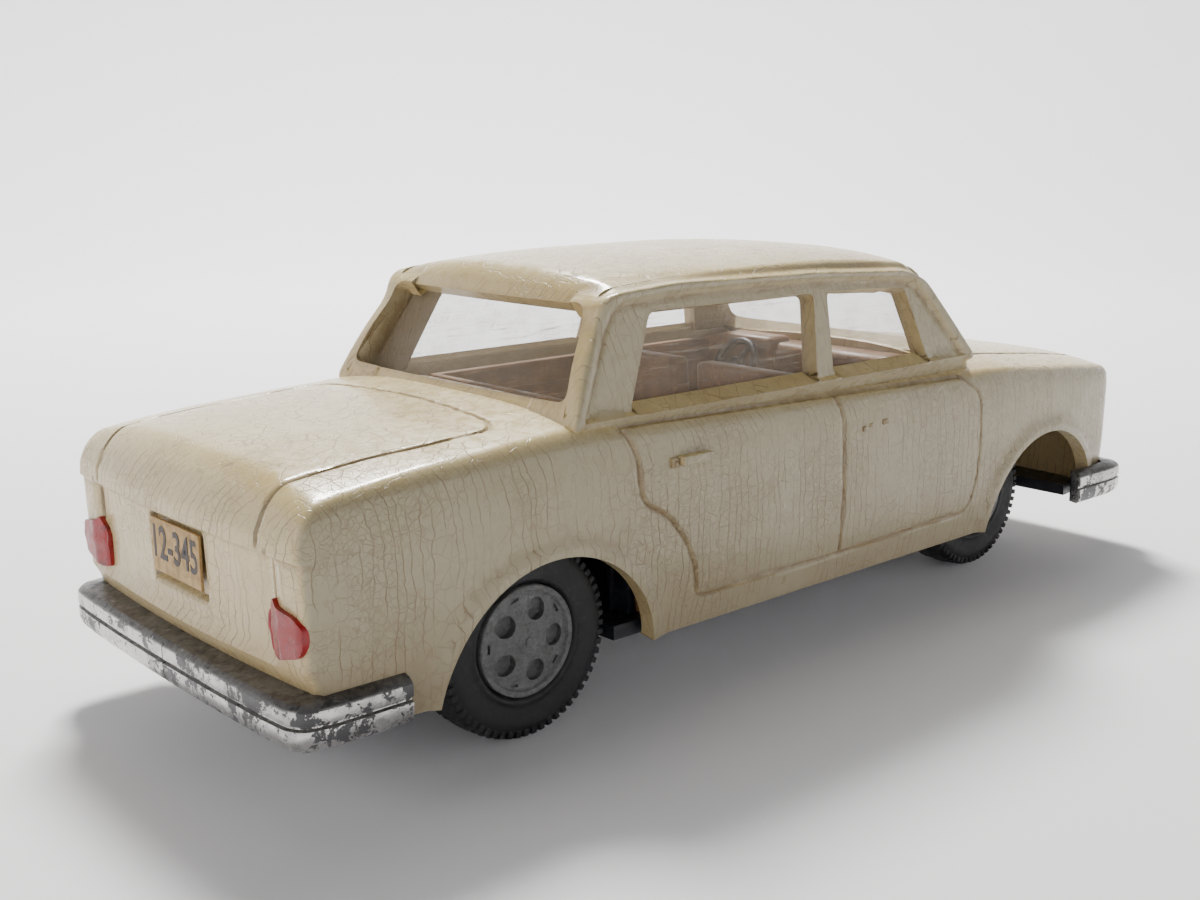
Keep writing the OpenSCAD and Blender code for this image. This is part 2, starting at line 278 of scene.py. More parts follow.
def recalc(obj, merge=1e-4):
    edit(obj)
    if merge:
        bpy.ops.mesh.remove_doubles(threshold=merge)
    bpy.ops.mesh.normals_make_consistent(inside=False)
    leave()
    return obj


def copy_of(obj, name, matrix=None):
    new = obj.copy()
    new.data = obj.data.copy()
    new.name = new.data.name = name
    bpy.context.scene.collection.objects.link(new)
    if matrix is not None:
        new.data.transform(matrix)
    return new


def turned_copy(obj, name, matrix):
    new = copy_of(obj, name, matrix)
    if matrix.determinant() < 0:
        edit(new)
        bpy.ops.mesh.flip_normals()
        leave()
    return new


def finish_piece(obj, body, mat, nodes=(), smooth=38):
    """Scales a piece from millimetres to metres, shades it and places it in the frame."""
    only(obj)
    obj.data.transform(Matrix.Scale(MM, 4))
    obj.matrix_world = Matrix.Identity(4)
    obj.data.update()
    if smooth:
        bpy.ops.object.shade_smooth_by_angle(angle=math.radians(smooth))
    obj.data.materials.clear()
    obj.data.materials.append(mat)
    for p in obj.data.polygons:
        p.material_index = 0
    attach(obj, body)
    if nodes:
        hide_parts(*nodes)
    deselect()
    return obj


def store_dirt_and_shade(obj, values):
    """Keeps each point's grime and painted shade, for the materials to read."""
    layer = obj.data.attributes.new("line_dirt_and_shade", "FLOAT", "POINT")
    layer.data.foreach_set("value", np.asarray(values, np.float32))


def side_block(name, side, x, y, z):
    """A cuboid from its x, y and z ranges, on the left (1) or the right (-1)."""
    near, far = sorted((side * y[0], side * y[1]))
    return block(name, (x[0], near, z[0]), (x[1], far, z[1]))


def unit(v):
    return np.clip(v, 0, 1)


def bell(v, width):
    return np.exp(-((v / width) ** 2))


# Curves along the car


def curve(*points):
    xs, ys = zip(*points)
    return lambda v: np.interp(v, xs, ys)


def soft_curve(*points):
    """Interpolates through the points with rounded corners."""
    xs, ys = map(np.array, zip(*points))
    fine = np.linspace(xs[0], xs[-1], 600)
    y = np.interp(fine, xs, ys)
    span = max(3, int(600 * 2.5 / (xs[-1] - xs[0])))
    padded = np.concatenate([y[0] + (y[0] - y[span:0:-1]), y, y[-1] + (y[-1] - y[-2:-span - 2:-1])])
    kernel = np.ones(2 * span + 1) / (2 * span + 1)
    y = np.convolve(padded, kernel, "same")[span:-span]
    return lambda v: np.interp(v, fine, y)


deck_height = soft_curve(
    (-62, 26.9), (-57, 27.9), (-50, 28.5), (-37.5, 29.1), (-31, 29.5), (0, 29.4), (28, 28.9),
    (34, 28.4), (41, 27.5), (52, 26.1), (58, 25.2), (62, 24.6),
)
deck_crown = soft_curve(
    (-62, 1.5), (-40, 1.2), (-31, 1.3), (-22, 1.7), (0, 2.4), (25, 2.6), (36, 1.9), (50, 1.5), (62, 1.4)
)
half_width = soft_curve(
    (-62, 21.35), (-57, 21.45), (-45, HALF), (44, HALF), (52, 21.1), (57, 20.6), (62, 19.9)
)
flank = soft_curve(
    (6, -1.0), (9, -0.45), (13, -0.05), (17, 0.0), (21, 0.0), (24, -0.1), (26, -0.4), (27.5, -0.9), (30, -2.6)
)
tail = curve(
    (5, 3.0), (12.2, 1.0), (13.0, 0.25), (22.0, 0.0), (23.4, 0.10), (24.8, 0.70), (26.2, 1.55), (30, 4.6)
)
lid_step = curve((12.6, 0.0), (13.2, 0.95), (21.7, 0.95), (21.95, 0.0), (30, 0.0))


def round_and(*parts):
    """Smooth intersection of (distance, fillet) pairs: negative inside."""
    total = 0
    for d, r in parts:
        total = total + np.maximum(d / r + 1, 0) ** 2
    return np.sqrt(total) - 1


def lower_field(p):
    x, y, z = p[:, 0], p[:, 1], p[:, 2]
    ay = np.abs(y)
    top = deck_height(x) - deck_crown(x) * (ay / 20) ** 3
    side = ay - (half_width(x) + flank(z))
    inner = unit((18.0 - ay) / 2.0)
    rear = -(x + BODY_END) + tail(z) + lid_step(z) * (0.35 + 0.65 * inner) + 0.85 * (ay / 21) ** 2
    nose = (x - BODY_END) + 0.9 * (ay / 19) ** 2 + 0.05 * np.maximum(22 - z, 0)
    return round_and((z - top, 1.5), (side, 0.9), (rear, 0.85), (nose, 1.8))


def cabin_slope(z):
    return (z - 29.3) / 10.2


def cabin_field(p):
    x, y, z = p[:, 0], p[:, 1], p[:, 2]
    ay = np.abs(y)
    s = cabin_slope(z)
    top = ROOF - 1.35 * (ay / 17) ** 2.6
    top = top - 0.0034 * np.maximum(x - 2, 0) ** 2 - 0.0026 * np.maximum(-8 - x, 0) ** 2
    side = ay - (20.0 - 2.0 * s - 0.25 * s * s) + 0.8 * np.maximum(28.5 - z, 0)
    rear = -(x + 31.6) + 5.9 * s + 0.4 * (ay / 18) ** 2
    screen = (x - 28.4) + 8.1 * s + 0.5 * (ay / 18) ** 2
    return round_and((z - top, 1.5), (side, 1.2), (rear, 1.3), (screen, 1.3))


def project(field, anchor, start, reach=14.0):
    """Moves each point along the line from its anchor onto the field's surface."""
    d = start - anchor
    d /= np.linalg.norm(d, axis=1, keepdims=True)
    lo = np.zeros(len(d))
    hi = np.full(len(d), 30.0)
    for _ in range(36):
        mid = (lo + hi) / 2
        inside = field(anchor + mid[:, None] * d) < 0
        lo = np.where(inside, mid, lo)
        hi = np.where(inside, hi, mid)
    return anchor + ((lo + hi) / 2)[:, None] * d


def field_normal(field, p, h=0.02):
    g = np.stack([field(p + h * e) - field(p - h * e) for e in np.eye(3)], -1)
    return g / np.maximum(np.linalg.norm(g, axis=1, keepdims=True), 1e-9)


def line_distance(pts, line):
    """Distance in a plane from points to a polyline."""
    best = np.full(len(pts), 1e9)
    line = np.array(line, float)
    for a, b in zip(line[:-1], line[1:]):
        ab = b - a
        t = unit(((pts - a) @ ab) / max(ab @ ab, 1e-12))
        best = np.minimum(best, np.linalg.norm(pts - (a + t[:, None] * ab), axis=1))
    return best


def rounded(points, radius, steps=6, closed=False):
    """A polyline with its corners rounded."""
    pts = [np.array(p, float) for p in points]
    out = [] if closed else [pts[0]]
    n = len(pts)
    for i in range(0 if closed else 1, n if closed else n - 1):
        a, b, c = pts[i - 1], pts[i], pts[(i + 1) % n]
        r = min(radius, 0.45 * np.linalg.norm(a - b), 0.45 * np.linalg.norm(c - b))
        p, q = b + (a - b) / np.linalg.norm(a - b) * r, b + (c - b) / np.linalg.norm(c - b) * r
        for t in np.linspace(0, 1, steps):
            out.append((1 - t) ** 2 * p + 2 * t * (1 - t) * b + t * t * q)
    out.append(out[0] if closed else pts[-1])
    return np.array(out)


def inside_outline(pts, outline):
    """Signed distance to a closed outline, negative inside."""
    d = line_distance(pts, outline)
    x, y = pts[:, 0], pts[:, 1]
    odd = np.zeros(len(pts), bool)
    for (x0, y0), (x1, y1) in zip(outline[:-1], outline[1:]):
        if y0 == y1:
            continue
        hit = (y0 > y) != (y1 > y)
        odd ^= hit & (x < (x1 - x0) * (y - y0) / (y1 - y0) + x0)
    return np.where(odd, -d, d)


# Engraved lines and openings, in millimetres

BELT = [(-26.6, 27.7), (-12, 27.3), (3.4, 26.9), (25.6, 26.2)]
REAR_DOOR = rounded(
    [(-26.6, 27.7), (-25.3, 24.9), (-25.2, 20.6), (-21.9, 18.9), (-19.2, 15.6), (-17.9, 12.2),
     (-17.8, 9.7), (3.7, 9.8)], 1.6
)
MIDDLE_LINE = [(3.4, 26.9), (3.8, 24), (3.9, 17), (3.7, 9.8)]
FRONT_DOOR = rounded([(3.7, 9.8), (27.2, 10.1), (28.6, 14.5), (28.9, 20), (28.7, 24.2), (25.6, 26.2)], 1.6)
DOORS = np.vstack([REAR_DOOR, FRONT_DOOR[1:], [(-26.6, 27.7)]])
FENDER_CREASE = [(-47.5, 20.0), (-36.5, 19.4), (-26.0, 19.6)]
BOOT_LID = rounded(
    [(-63, -15.4), (-57, -15.5), (-36.8, -15.8), (-35.7, 0), (-36.8, 15.8), (-57, 15.5), (-63, 15.4)], 3.0
)
BONNET_LID = rounded(
    [(60.2, -14.2), (31.5, -15.6), (30.2, 0), (31.5, 15.6), (60.2, 14.2), (60.2, -14.2)], 2.4
)
TAIL_LINES = [[(16.7, 22.2), (16.7, 18.4)], [(-16.7, 22.2), (-16.7, 18.4)]]
TAIL_CREASE = [(-17, 13.1), (-4, 12.5), (4, 12.5), (17, 13.1)]
PLATE = rounded([(-5.1, 15.1), (5.1, 15.1), (5.1, 21.2), (-5.1, 21.2)], 0.35, closed=True)
DRIP_RAIL = rounded(
    [(-31.4, 28.2), (-27.2, 37.0), (-25.2, 39.1), (-17, 39.6), (3, 39.3), (18.0, 38.5), (20.8, 37.3),
     (28.2, 28.3)], 2.0
)
REAR_SIDE_WINDOW = rounded([(-25.0, 28.5), (1.4, 28.5), (2.8, 37.6), (-20.6, 37.7)], 0.9, closed=True)
FRONT_SIDE_WINDOW = rounded([(4.1, 28.5), (20.6, 28.5), (18.0, 37.1), (4.9, 37.6)], 0.9, closed=True)
REAR_WINDOW = rounded([(-18.0, 30.0), (18.0, 30.0), (15.4, 38.4), (-15.4, 38.4)], 1.3, closed=True)
WINDSCREEN = rounded([(-17.8, 29.7), (17.8, 29.7), (15.2, 38.1), (-15.2, 38.1)], 1.3, closed=True)
CABIN_HOLE = rounded([(-29.0, -18.2), (25.6, -18.2), (25.6, 18.2), (-29.0, 18.2)], 1.0, closed=True)
ARCH_Z = AXLE_Z - 4.3
ARCH_REAR = REAR_X + 1.3
ARCH_FRONT = FRONT_X + 6.0


def arch_distance(xz):
    r = body_sizes().arch_radius / MM
    return np.minimum(
        np.hypot(xz[:, 0] - ARCH_REAR, xz[:, 1] - ARCH_Z), np.hypot(xz[:, 0] - ARCH_FRONT, xz[:, 1] - ARCH_Z)
    ) - r


def lower_lines(p):
    """Distance from body points to the nearest engraved line, and to the creases."""
    side = np.abs(p[:, 1]) > FLANK_Y
    top = (p[:, 2] > 22.2) & (np.abs(p[:, 1]) < FLANK_Y)
    back = p[:, 0] < BACK_X
    xz, xy, yz = p[:, [0, 2]], p[:, [0, 1]], p[:, [1, 2]]
    groove = np.full(len(p), FAR)
    edges = groove.copy()
    for where, flat, lines in (
        (side, xz, (BELT, REAR_DOOR, MIDDLE_LINE, FRONT_DOOR)),
        (top, xy, (BOOT_LID, BONNET_LID)),
        (back, yz, TAIL_LINES),
    ):
        for line in lines:
            groove = np.where(where, np.minimum(groove, line_distance(flat, line)), groove)
    for where, distance in (
        (back, inside_outline(yz, PLATE)), (back, p[:, 2] - 22.0), (side, arch_distance(xz))
    ):
        edges = np.where(where, np.minimum(edges, np.abs(distance)), edges)
    ay = np.abs(p[:, 1])
    edges = np.minimum(edges, np.hypot(p[:, 0] + 60.1, ay - 21.2) + 0.2)
    edges = np.minimum(edges, np.hypot(ay - 20.4, p[:, 2] - deck_height(p[:, 0]) + 1.5) + 0.3)
    return groove, edges


def lower_relief(p):
    """How far each body point stands out (+) or in (-), and its grime and painted shade."""
    s = body_sizes()
    depth, w = s.groove_depth / MM, s.groove_width / MM
    groove, edges = lower_lines(p)
    side = np.abs(p[:, 1]) > FLANK_Y
    back = p[:, 0] < BACK_X
    xz, yz = p[:, [0, 2]], p[:, [1, 2]]
    d = -depth * unit(1 - (groove / w) ** 2) ** 1.3
    d *= np.where(back, unit((np.abs(p[:, 2] - 21.9) - 0.35) / 0.5), 1)
    door = inside_outline(xz, DOORS)
    d += np.where(side, 0.10 * unit(-door / 0.25), 0)
    a = arch_distance(xz)
    ramp = unit((1.45 - a) / 0.5)
    d += np.where(side & (p[:, 2] > 6), s.lip / MM * ramp * ramp * (3 - 2 * ramp), 0)
    plate = inside_outline(yz, PLATE)
    d -= np.where(back, 0.62 * unit(0.5 - plate / 0.3), 0)
    d += 0.14 * np.where(back, bell(plate - 0.45, 0.28), 0)
    crease = np.where(side & (p[:, 0] < -24), line_distance(xz, FENDER_CREASE), 9)
    d += 0.07 * bell(crease, 0.7)
    low = np.where(back & (np.abs(p[:, 1]) < 18), line_distance(yz, TAIL_CREASE), 9)
    d += 0.10 * bell(low, 0.4)
    # Grime in the engraved lines; darker round the plate recess and just outside the arch lips.
    dirt_and_shade = unit(1.15 - groove / (1.5 * w))
    for patch in (
        0.8 * unit(1 - np.abs(plate + 0.1) / 0.45) * back,
        # Painted shadow: a dark band just under the boot lid's lip, on the recessed tail panel.
        0.9 * unit(1 - np.abs(p[:, 2] - 21.6) / 0.35) * back,
        0.45 * unit(1 - np.abs(a - 1.6) / 0.7) * side,
        # Darker towards the bottom: along the sill, on the lower rear fender and low on the tail.
        0.40 * unit(1 - (p[:, 2] - SILL) / 1.2) * side,
        0.42 * np.exp(-(((p[:, 0] + 53) / 7) ** 2 + ((p[:, 2] - 11) / 6) ** 2)),
        0.6 * unit(1 - (p[:, 2] - SILL) / 6.0) * back,
    ):
        dirt_and_shade = np.maximum(dirt_and_shade, patch)
    return d, dirt_and_shade


def cabin_lines(p):
    side = np.abs(p[:, 1]) > PILLAR_Y
    xz, yz = p[:, [0, 2]], p[:, [1, 2]]
    ends = (p[:, 0] < -24) | (p[:, 0] > 18)
    rail = np.where(side, line_distance(xz, DRIP_RAIL), FAR)
    windows, glass = (
        np.minimum(np.abs(inside_outline(flat, a)), np.abs(inside_outline(flat, b)))
        for flat, a, b in ((xz, REAR_SIDE_WINDOW, FRONT_SIDE_WINDOW), (yz, REAR_WINDOW, WINDSCREEN))
    )
    windows = np.where(side, windows, FAR)
    return rail, np.minimum(windows, np.where(ends & (p[:, 2] < 39.4), glass, FAR))


def cabin_relief(p):
    s = body_sizes()
    rail, windows = cabin_lines(p)
    d = s.rail / MM * bell(rail, 0.36) - 0.12 * bell(rail - 0.85, 0.3)
    xz = p[:, [0, 2]]
    side = np.abs(p[:, 1]) > PILLAR_Y
    under = unit(1 - np.abs(rail - 0.8) / 0.35) * side
    panel = inside_outline(xz, np.vstack([DRIP_RAIL, DRIP_RAIL[:1]]))
    d -= np.where(side, 0.50 * unit(-(panel + 0.35) / 0.35), 0)
    d += 0.12 * unit(1 - (windows / 0.8) ** 2) * (p[:, 2] < 29.5)
    # Darker in the groove under the drip rail, round the window openings and along the foot of the cabin.
    dirt_and_shade = 0.75 * under + 0.35 * unit(1 - windows / 0.5)
    dirt_and_shade = np.maximum(dirt_and_shade, 0.3 * unit(1 - np.abs(p[:, 2] - 28.3) / 0.5))
    return d, unit(dirt_and_shade)


def onto_outline(q, plane, distance, h=0.01):
    """Moves points in a plane onto the outline that the distance belongs to."""
    for _ in range(4):
        dist = distance(q[:, plane])
        grad = np.zeros((len(q), 2))
        for k in range(2):
            e = q.copy()
            e[:, plane[k]] += h
            grad[:, k] = (distance(e[:, plane]) - dist) / h
        grad /= np.maximum(np.linalg.norm(grad, axis=1, keepdims=True), 1e-6)
        q[:, plane[0]] -= grad[:, 0] * dist
        q[:, plane[1]] -= grad[:, 1] * dist
    return q


def onto_surface(q, axis, field):
    """Moves points along one axis onto the field's surface, by halving."""
    sign = np.sign(q[:, axis])
    a = np.zeros(len(q))
    b = np.full(len(q), 70.0)
    for _ in range(34):
        m = (a + b) / 2
        t = q.copy()
        t[:, axis] = sign * m
        inner = field(t) < 0
        a, b = np.where(inner, m, a), np.where(inner, b, m)
    q[:, axis] = sign * (a + b) / 2
    return q


def wrap_shell(name, field, lo, hi, core_lo, core_hi, steps, lines, levels, openings, relief, wall):
    """A moulded shell.

    A cuboid is cut into even strips, wrapped onto the field's surface, refined along
    its lines, opened, and given its relief and its wall.
    """
    obj = block(name, lo, hi)
    for axis in range(3):
        cut_planes(obj, axis, np.linspace(lo[axis], hi[axis], steps[axis] + 1)[1:-1])
    pick_faces(obj, face_centres(obj)[:, 2] < lo[2] + 1e-4)
    bpy.ops.mesh.delete(type="FACE")
    leave()

    def wrap(p):
        anchor = np.clip(p, core_lo, core_hi)
        anchor[:, 2] = np.minimum(p[:, 2], core_hi[2])
        return project(field, anchor, p)

    for band, edge_band in levels:
        fine_lines, soft_edges = lines(wrap(face_centres(obj)))
        pick_faces(obj, (fine_lines < band) | (soft_edges < edge_band))
        bpy.ops.mesh.subdivide(number_cuts=1, quadcorner="INNERVERT")
        leave()
    set_coords(obj, wrap(coords(obj)))
    for plane, solve, distance, where in openings:
        c = face_centres(obj)
        pick_faces(obj, where(c) & (distance(c[:, plane]) < 0))
        bpy.ops.mesh.delete(type="FACE")
        bpy.ops.mesh.select_all(action="SELECT")
        bpy.ops.mesh.region_to_loop()
        leave()
        rim = np.empty(len(obj.data.vertices), bool)
        obj.data.vertices.foreach_get("select", rim)
        co = coords(obj)
        take = np.flatnonzero(rim & where(co) & (np.abs(distance(co[:, plane])) < 1.0))
        co[take] = onto_surface(onto_outline(co[take], plane, distance), solve, field)
        set_coords(obj, co)
    co = coords(obj)
    out, dirt_and_shade = relief(co)
    set_coords(obj, co + out[:, None] * field_normal(field, co))
    store_dirt_and_shade(obj, dirt_and_shade)
    modifier(obj, "SOLIDIFY", thickness=wall, offset=-1, use_even_offset=False, use_rim=True)
    return obj


def handle_pieces(side):
    """Door handles: a base, a bar, and on the worn side a broken front one."""
    parts = []

    def lump(x0, x1, z0, z1, out, dirt_and_shade=0.0):
        b = side_block("lump", side, (x0, x1), (HALF - 0.5, HALF + out), (z0, z1))
        bevel(b, 0.14, 2)
        store_dirt_and_shade(b, np.full(len(b.data.vertices), dirt_and_shade))
        parts.append(b)

    if side > 0:
        lump(-21.6, -20.5, 23.1, 24.3, 0.50)
        lump(6.3, 7.3, 22.7, 23.8, 0.50)
        lump(7.1, 11.4, 22.9, 23.7, 0.80)
    else:
        lump(-21.5, -20.5, 23.2, 24.2, 0.28, 1.0)
        lump(-21.2, -20.8, 23.3, 23.9, 0.45, 0.9)
        lump(6.8, 7.5, 22.6, 23.2, 0.16, 0.9)
        lump(8.0, 8.6, 22.9, 23.4, 0.14, 0.8)
        lump(10.2, 11.2, 22.9, 23.5, 0.18, 0.9)
    lump(-20.5, -16.5, 23.4, 24.3, 0.85)
    return parts


def make_lower_body():
    wall = body_sizes().wall / MM
    arch = (
        [0, 2], 1, arch_distance, lambda c: (np.abs(c[:, 1]) > 15) & (c[:, 2] < 20) & (np.abs(c[:, 0]) < 57.5)
    )
    hole = ([0, 1], 2, lambda q: inside_outline(q, CABIN_HOLE), lambda c: c[:, 2] > 24)
    obj = wrap_shell(
        "body_lower", lower_field, (-BODY_END, -HALF, SILL), (BODY_END, HALF, 29.4),
        (-56.0, -16.0, -99.0), (56.0, 16.0, 23.5), (100, 40, 20), lower_lines,
        [(1.4, 1.4), (0.72, 0.52), (0.27, 0.19)], [arch, hole], lower_relief, wall,
    )
    return join("body_lower", [obj] + handle_pieces(1) + handle_pieces(-1))


def make_cabin():
    wall = body_sizes().wall / MM
    sides = lambda c: (np.abs(c[:, 1]) > PILLAR_Y) & (c[:, 2] < 38.6)
    openings = [
        ([0, 2], 1, lambda q: inside_outline(q, REAR_SIDE_WINDOW), sides),
        ([0, 2], 1, lambda q: inside_outline(q, FRONT_SIDE_WINDOW), sides),
        ([1, 2], 0, lambda q: inside_outline(q, REAR_WINDOW), lambda c: (c[:, 0] < -23.5) & (c[:, 2] < 39.2)),
        ([1, 2], 0, lambda q: inside_outline(q, WINDSCREEN), lambda c: (c[:, 0] > 17.5) & (c[:, 2] < 39.2)),
    ]
    return wrap_shell(
        "body_cabin", cabin_field, (-34.0, -20.6, 25.2), (31.0, 20.6, ROOF),
        (-21.0, -12.5, -99.0), (15.5, 12.5, 37.5), (66, 42, 20), cabin_lines,
        [(1.3, 1.2), (0.75, 0.5)], openings, cabin_relief, wall + 0.2,
    )


# Node helpers


def put(tree, kind, values=None, **props):
    """Adds a shader node, with sockets filled by value or by link."""
    node = tree.nodes.new("ShaderNode" + kind)
    for k, v in props.items():
        setattr(node, k, v)
    for k, v in (values or {}).items():
        if isinstance(v, bpy.types.NodeSocket):
            tree.links.new(v, node.inputs[k])
        else:
            node.inputs[k].default_value = v
    return node


def calc(tree, operation, a, b=0.0, clamp=False):
    return put(tree, "Math", {0: a, 1: b}, operation=operation, use_clamp=clamp).outputs[0]


def times(tree, a, b, clamp=False):
    return calc(tree, "MULTIPLY", a, b, clamp)


def most(tree, a, b):
    return calc(tree, "MAXIMUM", a, b)


def plus(tree, a, b, clamp=False):
    return calc(tree, "ADD", a, b, clamp)


def minus(tree, a, b, clamp=False):
    return calc(tree, "SUBTRACT", a, b, clamp)


def axes_of(tree, vector):
    return put(tree, "SeparateXYZ", {0: vector}).outputs


def facing_axes(tree):
    """The three parts of the surface's own direction."""
    return axes_of(tree, put(tree, "NewGeometry").outputs["Normal"])


def ease(tree, value, lo, hi, out_lo=0.0, out_hi=1.0):
    """Smooth step of a value from lo..hi to out_lo..out_hi."""
    return put(
        tree, "MapRange", {0: value, 1: lo, 2: hi, 3: out_lo, 4: out_hi}, interpolation_type="SMOOTHSTEP"
    ).outputs[0]


def blend_colours(tree, mask, a, b, kind="MIX"):
    return put(tree, "Mix", {0: mask, 6: a, 7: b}, data_type="RGBA", blend_type=kind).outputs[2]


def place(tree, stretch=(1, 1, 1), move=(0, 0, 0)):
    """Object coordinates in millimetres, stretched."""
    at = put(tree, "TexCoord").outputs["Object"]
    return put(tree, "Mapping", {0: at, 1: move, 3: tuple(1000 * s for s in stretch)}).outputs[0]


def mottle(tree, at, scale, detail=4.0, rough=0.55, warp=0.0):
    values = {"Vector": at, "Scale": scale, "Detail": detail, "Roughness": rough, "Distortion": warp}
    return put(tree, "TexNoise", values).outputs[0]


def cells(tree, at, scale):
    return put(
        tree, "TexVoronoi", {"Vector": at, "Scale": scale}, feature="DISTANCE_TO_EDGE"
    ).outputs["Distance"]


def rgba(c, k=1.0):
    return (c[0] * k, c[1] * k, c[2] * k, 1.0)


def node_group(name, inputs, outputs, build):
    """A shader node group with named sockets, built once."""
    tree = bpy.data.node_groups.get(name)
    if tree:
        return tree
    tree = bpy.data.node_groups.new(name, "ShaderNodeTree")
    for label, kind, default in inputs:
        tree.interface.new_socket(label, in_out="INPUT", socket_type="NodeSocket" + kind).default_value = default
    for label, kind in outputs:
        tree.interface.new_socket(label, in_out="OUTPUT", socket_type="NodeSocket" + kind)
    build(tree, tree.nodes.new("NodeGroupInput").outputs, tree.nodes.new("NodeGroupOutput").inputs)
    return tree


def use_group(tree, group, **values):
    node = tree.nodes.new("ShaderNodeGroup")
    node.node_tree = group
    for k, v in values.items():
        k = k.replace("_", " ")
        if isinstance(v, bpy.types.NodeSocket):
            tree.links.new(v, node.inputs[k])
        else:
            node.inputs[k].default_value = v
    return node.outputs


def crazing_group():
    """Fine cracks: upright strands on the flanks, a net on the tops, that open and fade over the surface."""

    def build(t, i, o):
        at = place(t)
        axes = axes_of(t, at)
        run = plus(t, axes[0], times(t, axes[1], 0.83))
        run = plus(t, run, times(t, mottle(t, at, 0.30, 3.0), 1.7))
        strand = put(
            t, "TexVoronoi", {"W": run, "Scale": 1.0}, voronoi_dimensions="1D", feature="DISTANCE_TO_EDGE"
        ).outputs["Distance"]
        strand = ease(t, strand, 0.020, 0.072, 1.0, 0.0)
        strand = times(t, strand, ease(t, mottle(t, place(t, (1, 1, 0.16)), 0.55, 3.0), 0.36, 0.52))
        bend = put(t, "TexNoise", {"Vector": at, "Scale": 0.55, "Detail": 3.0})
        shift = put(t, "VectorMath", {0: bend.outputs["Color"], 1: (0.5, 0.5, 0.5)}, operation="SUBTRACT").outputs[0]
        shift = put(t, "VectorMath", {0: shift, 1: (0.5, 0.5, 0.5)}, operation="MULTIPLY").outputs[0]
        moved = put(t, "VectorMath", {0: at, 1: shift}, operation="ADD").outputs[0]
        here = mottle(t, at, 0.085, 3.0)
        net = ease(t, cells(t, moved, 0.60), 0.010, 0.034, 1.0, 0.0)
        net = times(t, net, ease(t, mottle(t, at, 0.25, 3.0), 0.36, 0.52))
        tiny = ease(t, cells(t, moved, 1.5), 0.014, 0.042, 1.0, 0.0)
        tiny = times(t, tiny, ease(t, here, 0.46, 0.60))
        up = facing_axes(t)[2]
        up = ease(t, calc(t, "ABSOLUTE", up), 0.62, 0.92)
        strand = times(t, strand, minus(t, 1.0, up))
        net = times(t, net, plus(t, 0.45, times(t, up, 0.55)))
        both = most(t, most(t, strand, net), times(t, tiny, 0.6))
        spread = ease(t, here, 0.30, 0.52, 0.30, 1.0)
        t.links.new(times(t, times(t, both, spread), i["Amount"]), o["Cracks"])

    return node_group("crazing", [("Amount", "Float", 1.0)], [("Cracks", "Float")], build)


def dirt_and_shade_group():
    """Grime from the engraved lines with the painted shadow under the boot lid's lip, and blotches that cling round
    them; also darker towards the bottom, most at the rear.
    """

    def build(t, i, o):
        # Stored marks: grime in the engraved lines and the painted shadow under the boot lid's lip.
        line = put(t, "Attribute", attribute_name="line_dirt_and_shade").outputs["Fac"]
        blot = mottle(t, place(t), 0.55, 5.0, 0.65)
        lines = times(t, line, ease(t, blot, 0.30, 0.62, 0.15, 1.15), clamp=True)
        spots = ease(t, mottle(t, place(t), 1.6, 4.0, 0.7), 0.67, 0.76)
        axes = axes_of(t, place(t))
        # Darker towards the bottom, most at the rear, in blotches.
        low = ease(t, axes[2], 7.0, 19.0, 0.95, 0.0)
        low = times(t, low, ease(t, axes[0], -58.0, -33.0, 1.0, 0.30))
        low = times(t, low, blot)
        t.links.new(times(t, most(t, lines, low), i["Amount"], clamp=True), o["Dirt"])
        t.links.new(times(t, spots, i["Amount"], clamp=True), o["Spots"])

    return node_group(
        "clinging_dirt_and_shade", [("Amount", "Float", 1.0)], [("Dirt", "Float"), ("Spots", "Float")], build
    )


def scratches_group():
    """Fine straight scratches in two directions, and rubbed haze."""

    def build(t, i, o):
        total = None
        for turn, scale in ((0.5, 1.0), (-0.7, 1.3), (1.35, 0.8)):
            at = put(t, "Mapping", {0: place(t), 2: (0.3 * turn, turn, turn * 0.6), 3: (0.10, 2.2, 2.2)}).outputs[0]
            s = ease(t, mottle(t, at, 1.1 * scale, 2.0, 0.6), 0.64, 0.70)
            total = s if total is None else most(t, total, s)
        rub = ease(t, mottle(t, place(t), 0.35, 4.0, 0.6), 0.42, 0.72)
        total = times(t, total, ease(t, rub, 0.0, 0.7, 0.35, 1.0))
        t.links.new(times(t, total, i["Amount"]), o["Scratches"])
        t.links.new(times(t, rub, i["Amount"]), o["Haze"])

    return node_group(
        "scratches", [("Amount", "Float", 1.0)], [("Scratches", "Float"), ("Haze", "Float")], build
    )


def flaking_group():
    """Where a foil or paint skin has flaked away, in patches with ragged edges."""

    def build(t, i, o):
        ragged = mottle(t, place(t), 0.33, 8.0, 0.72, 0.6)
        small = mottle(t, place(t, (1, 1, 1.5)), 1.5, 5.0, 0.7)
        v = plus(t, times(t, ragged, 0.72), times(t, small, 0.28))
        edge = minus(t, i["Level"], v)
        t.links.new(ease(t, edge, -0.006, 0.006), o["Gone"])
        t.links.new(ease(t, edge, -0.035, 0.0), o["Edge"])

    return node_group("flaking", [("Level", "Float", 0.45)], [("Gone", "Float"), ("Edge", "Float")], build)


def dust_group():
    """Pale dust that settles on faces that look up."""

    def build(t, i, o):
        up = facing_axes(t)[2]
        v = times(t, ease(t, up, 0.25, 0.95), ease(t, mottle(t, place(t), 1.1, 5.0, 0.7), 0.30, 0.66))
        t.links.new(times(t, v, i["Amount"]), o["Dust"])

    return node_group("settled_dust", [("Amount", "Float", 0.5)], [("Dust", "Float")], build)


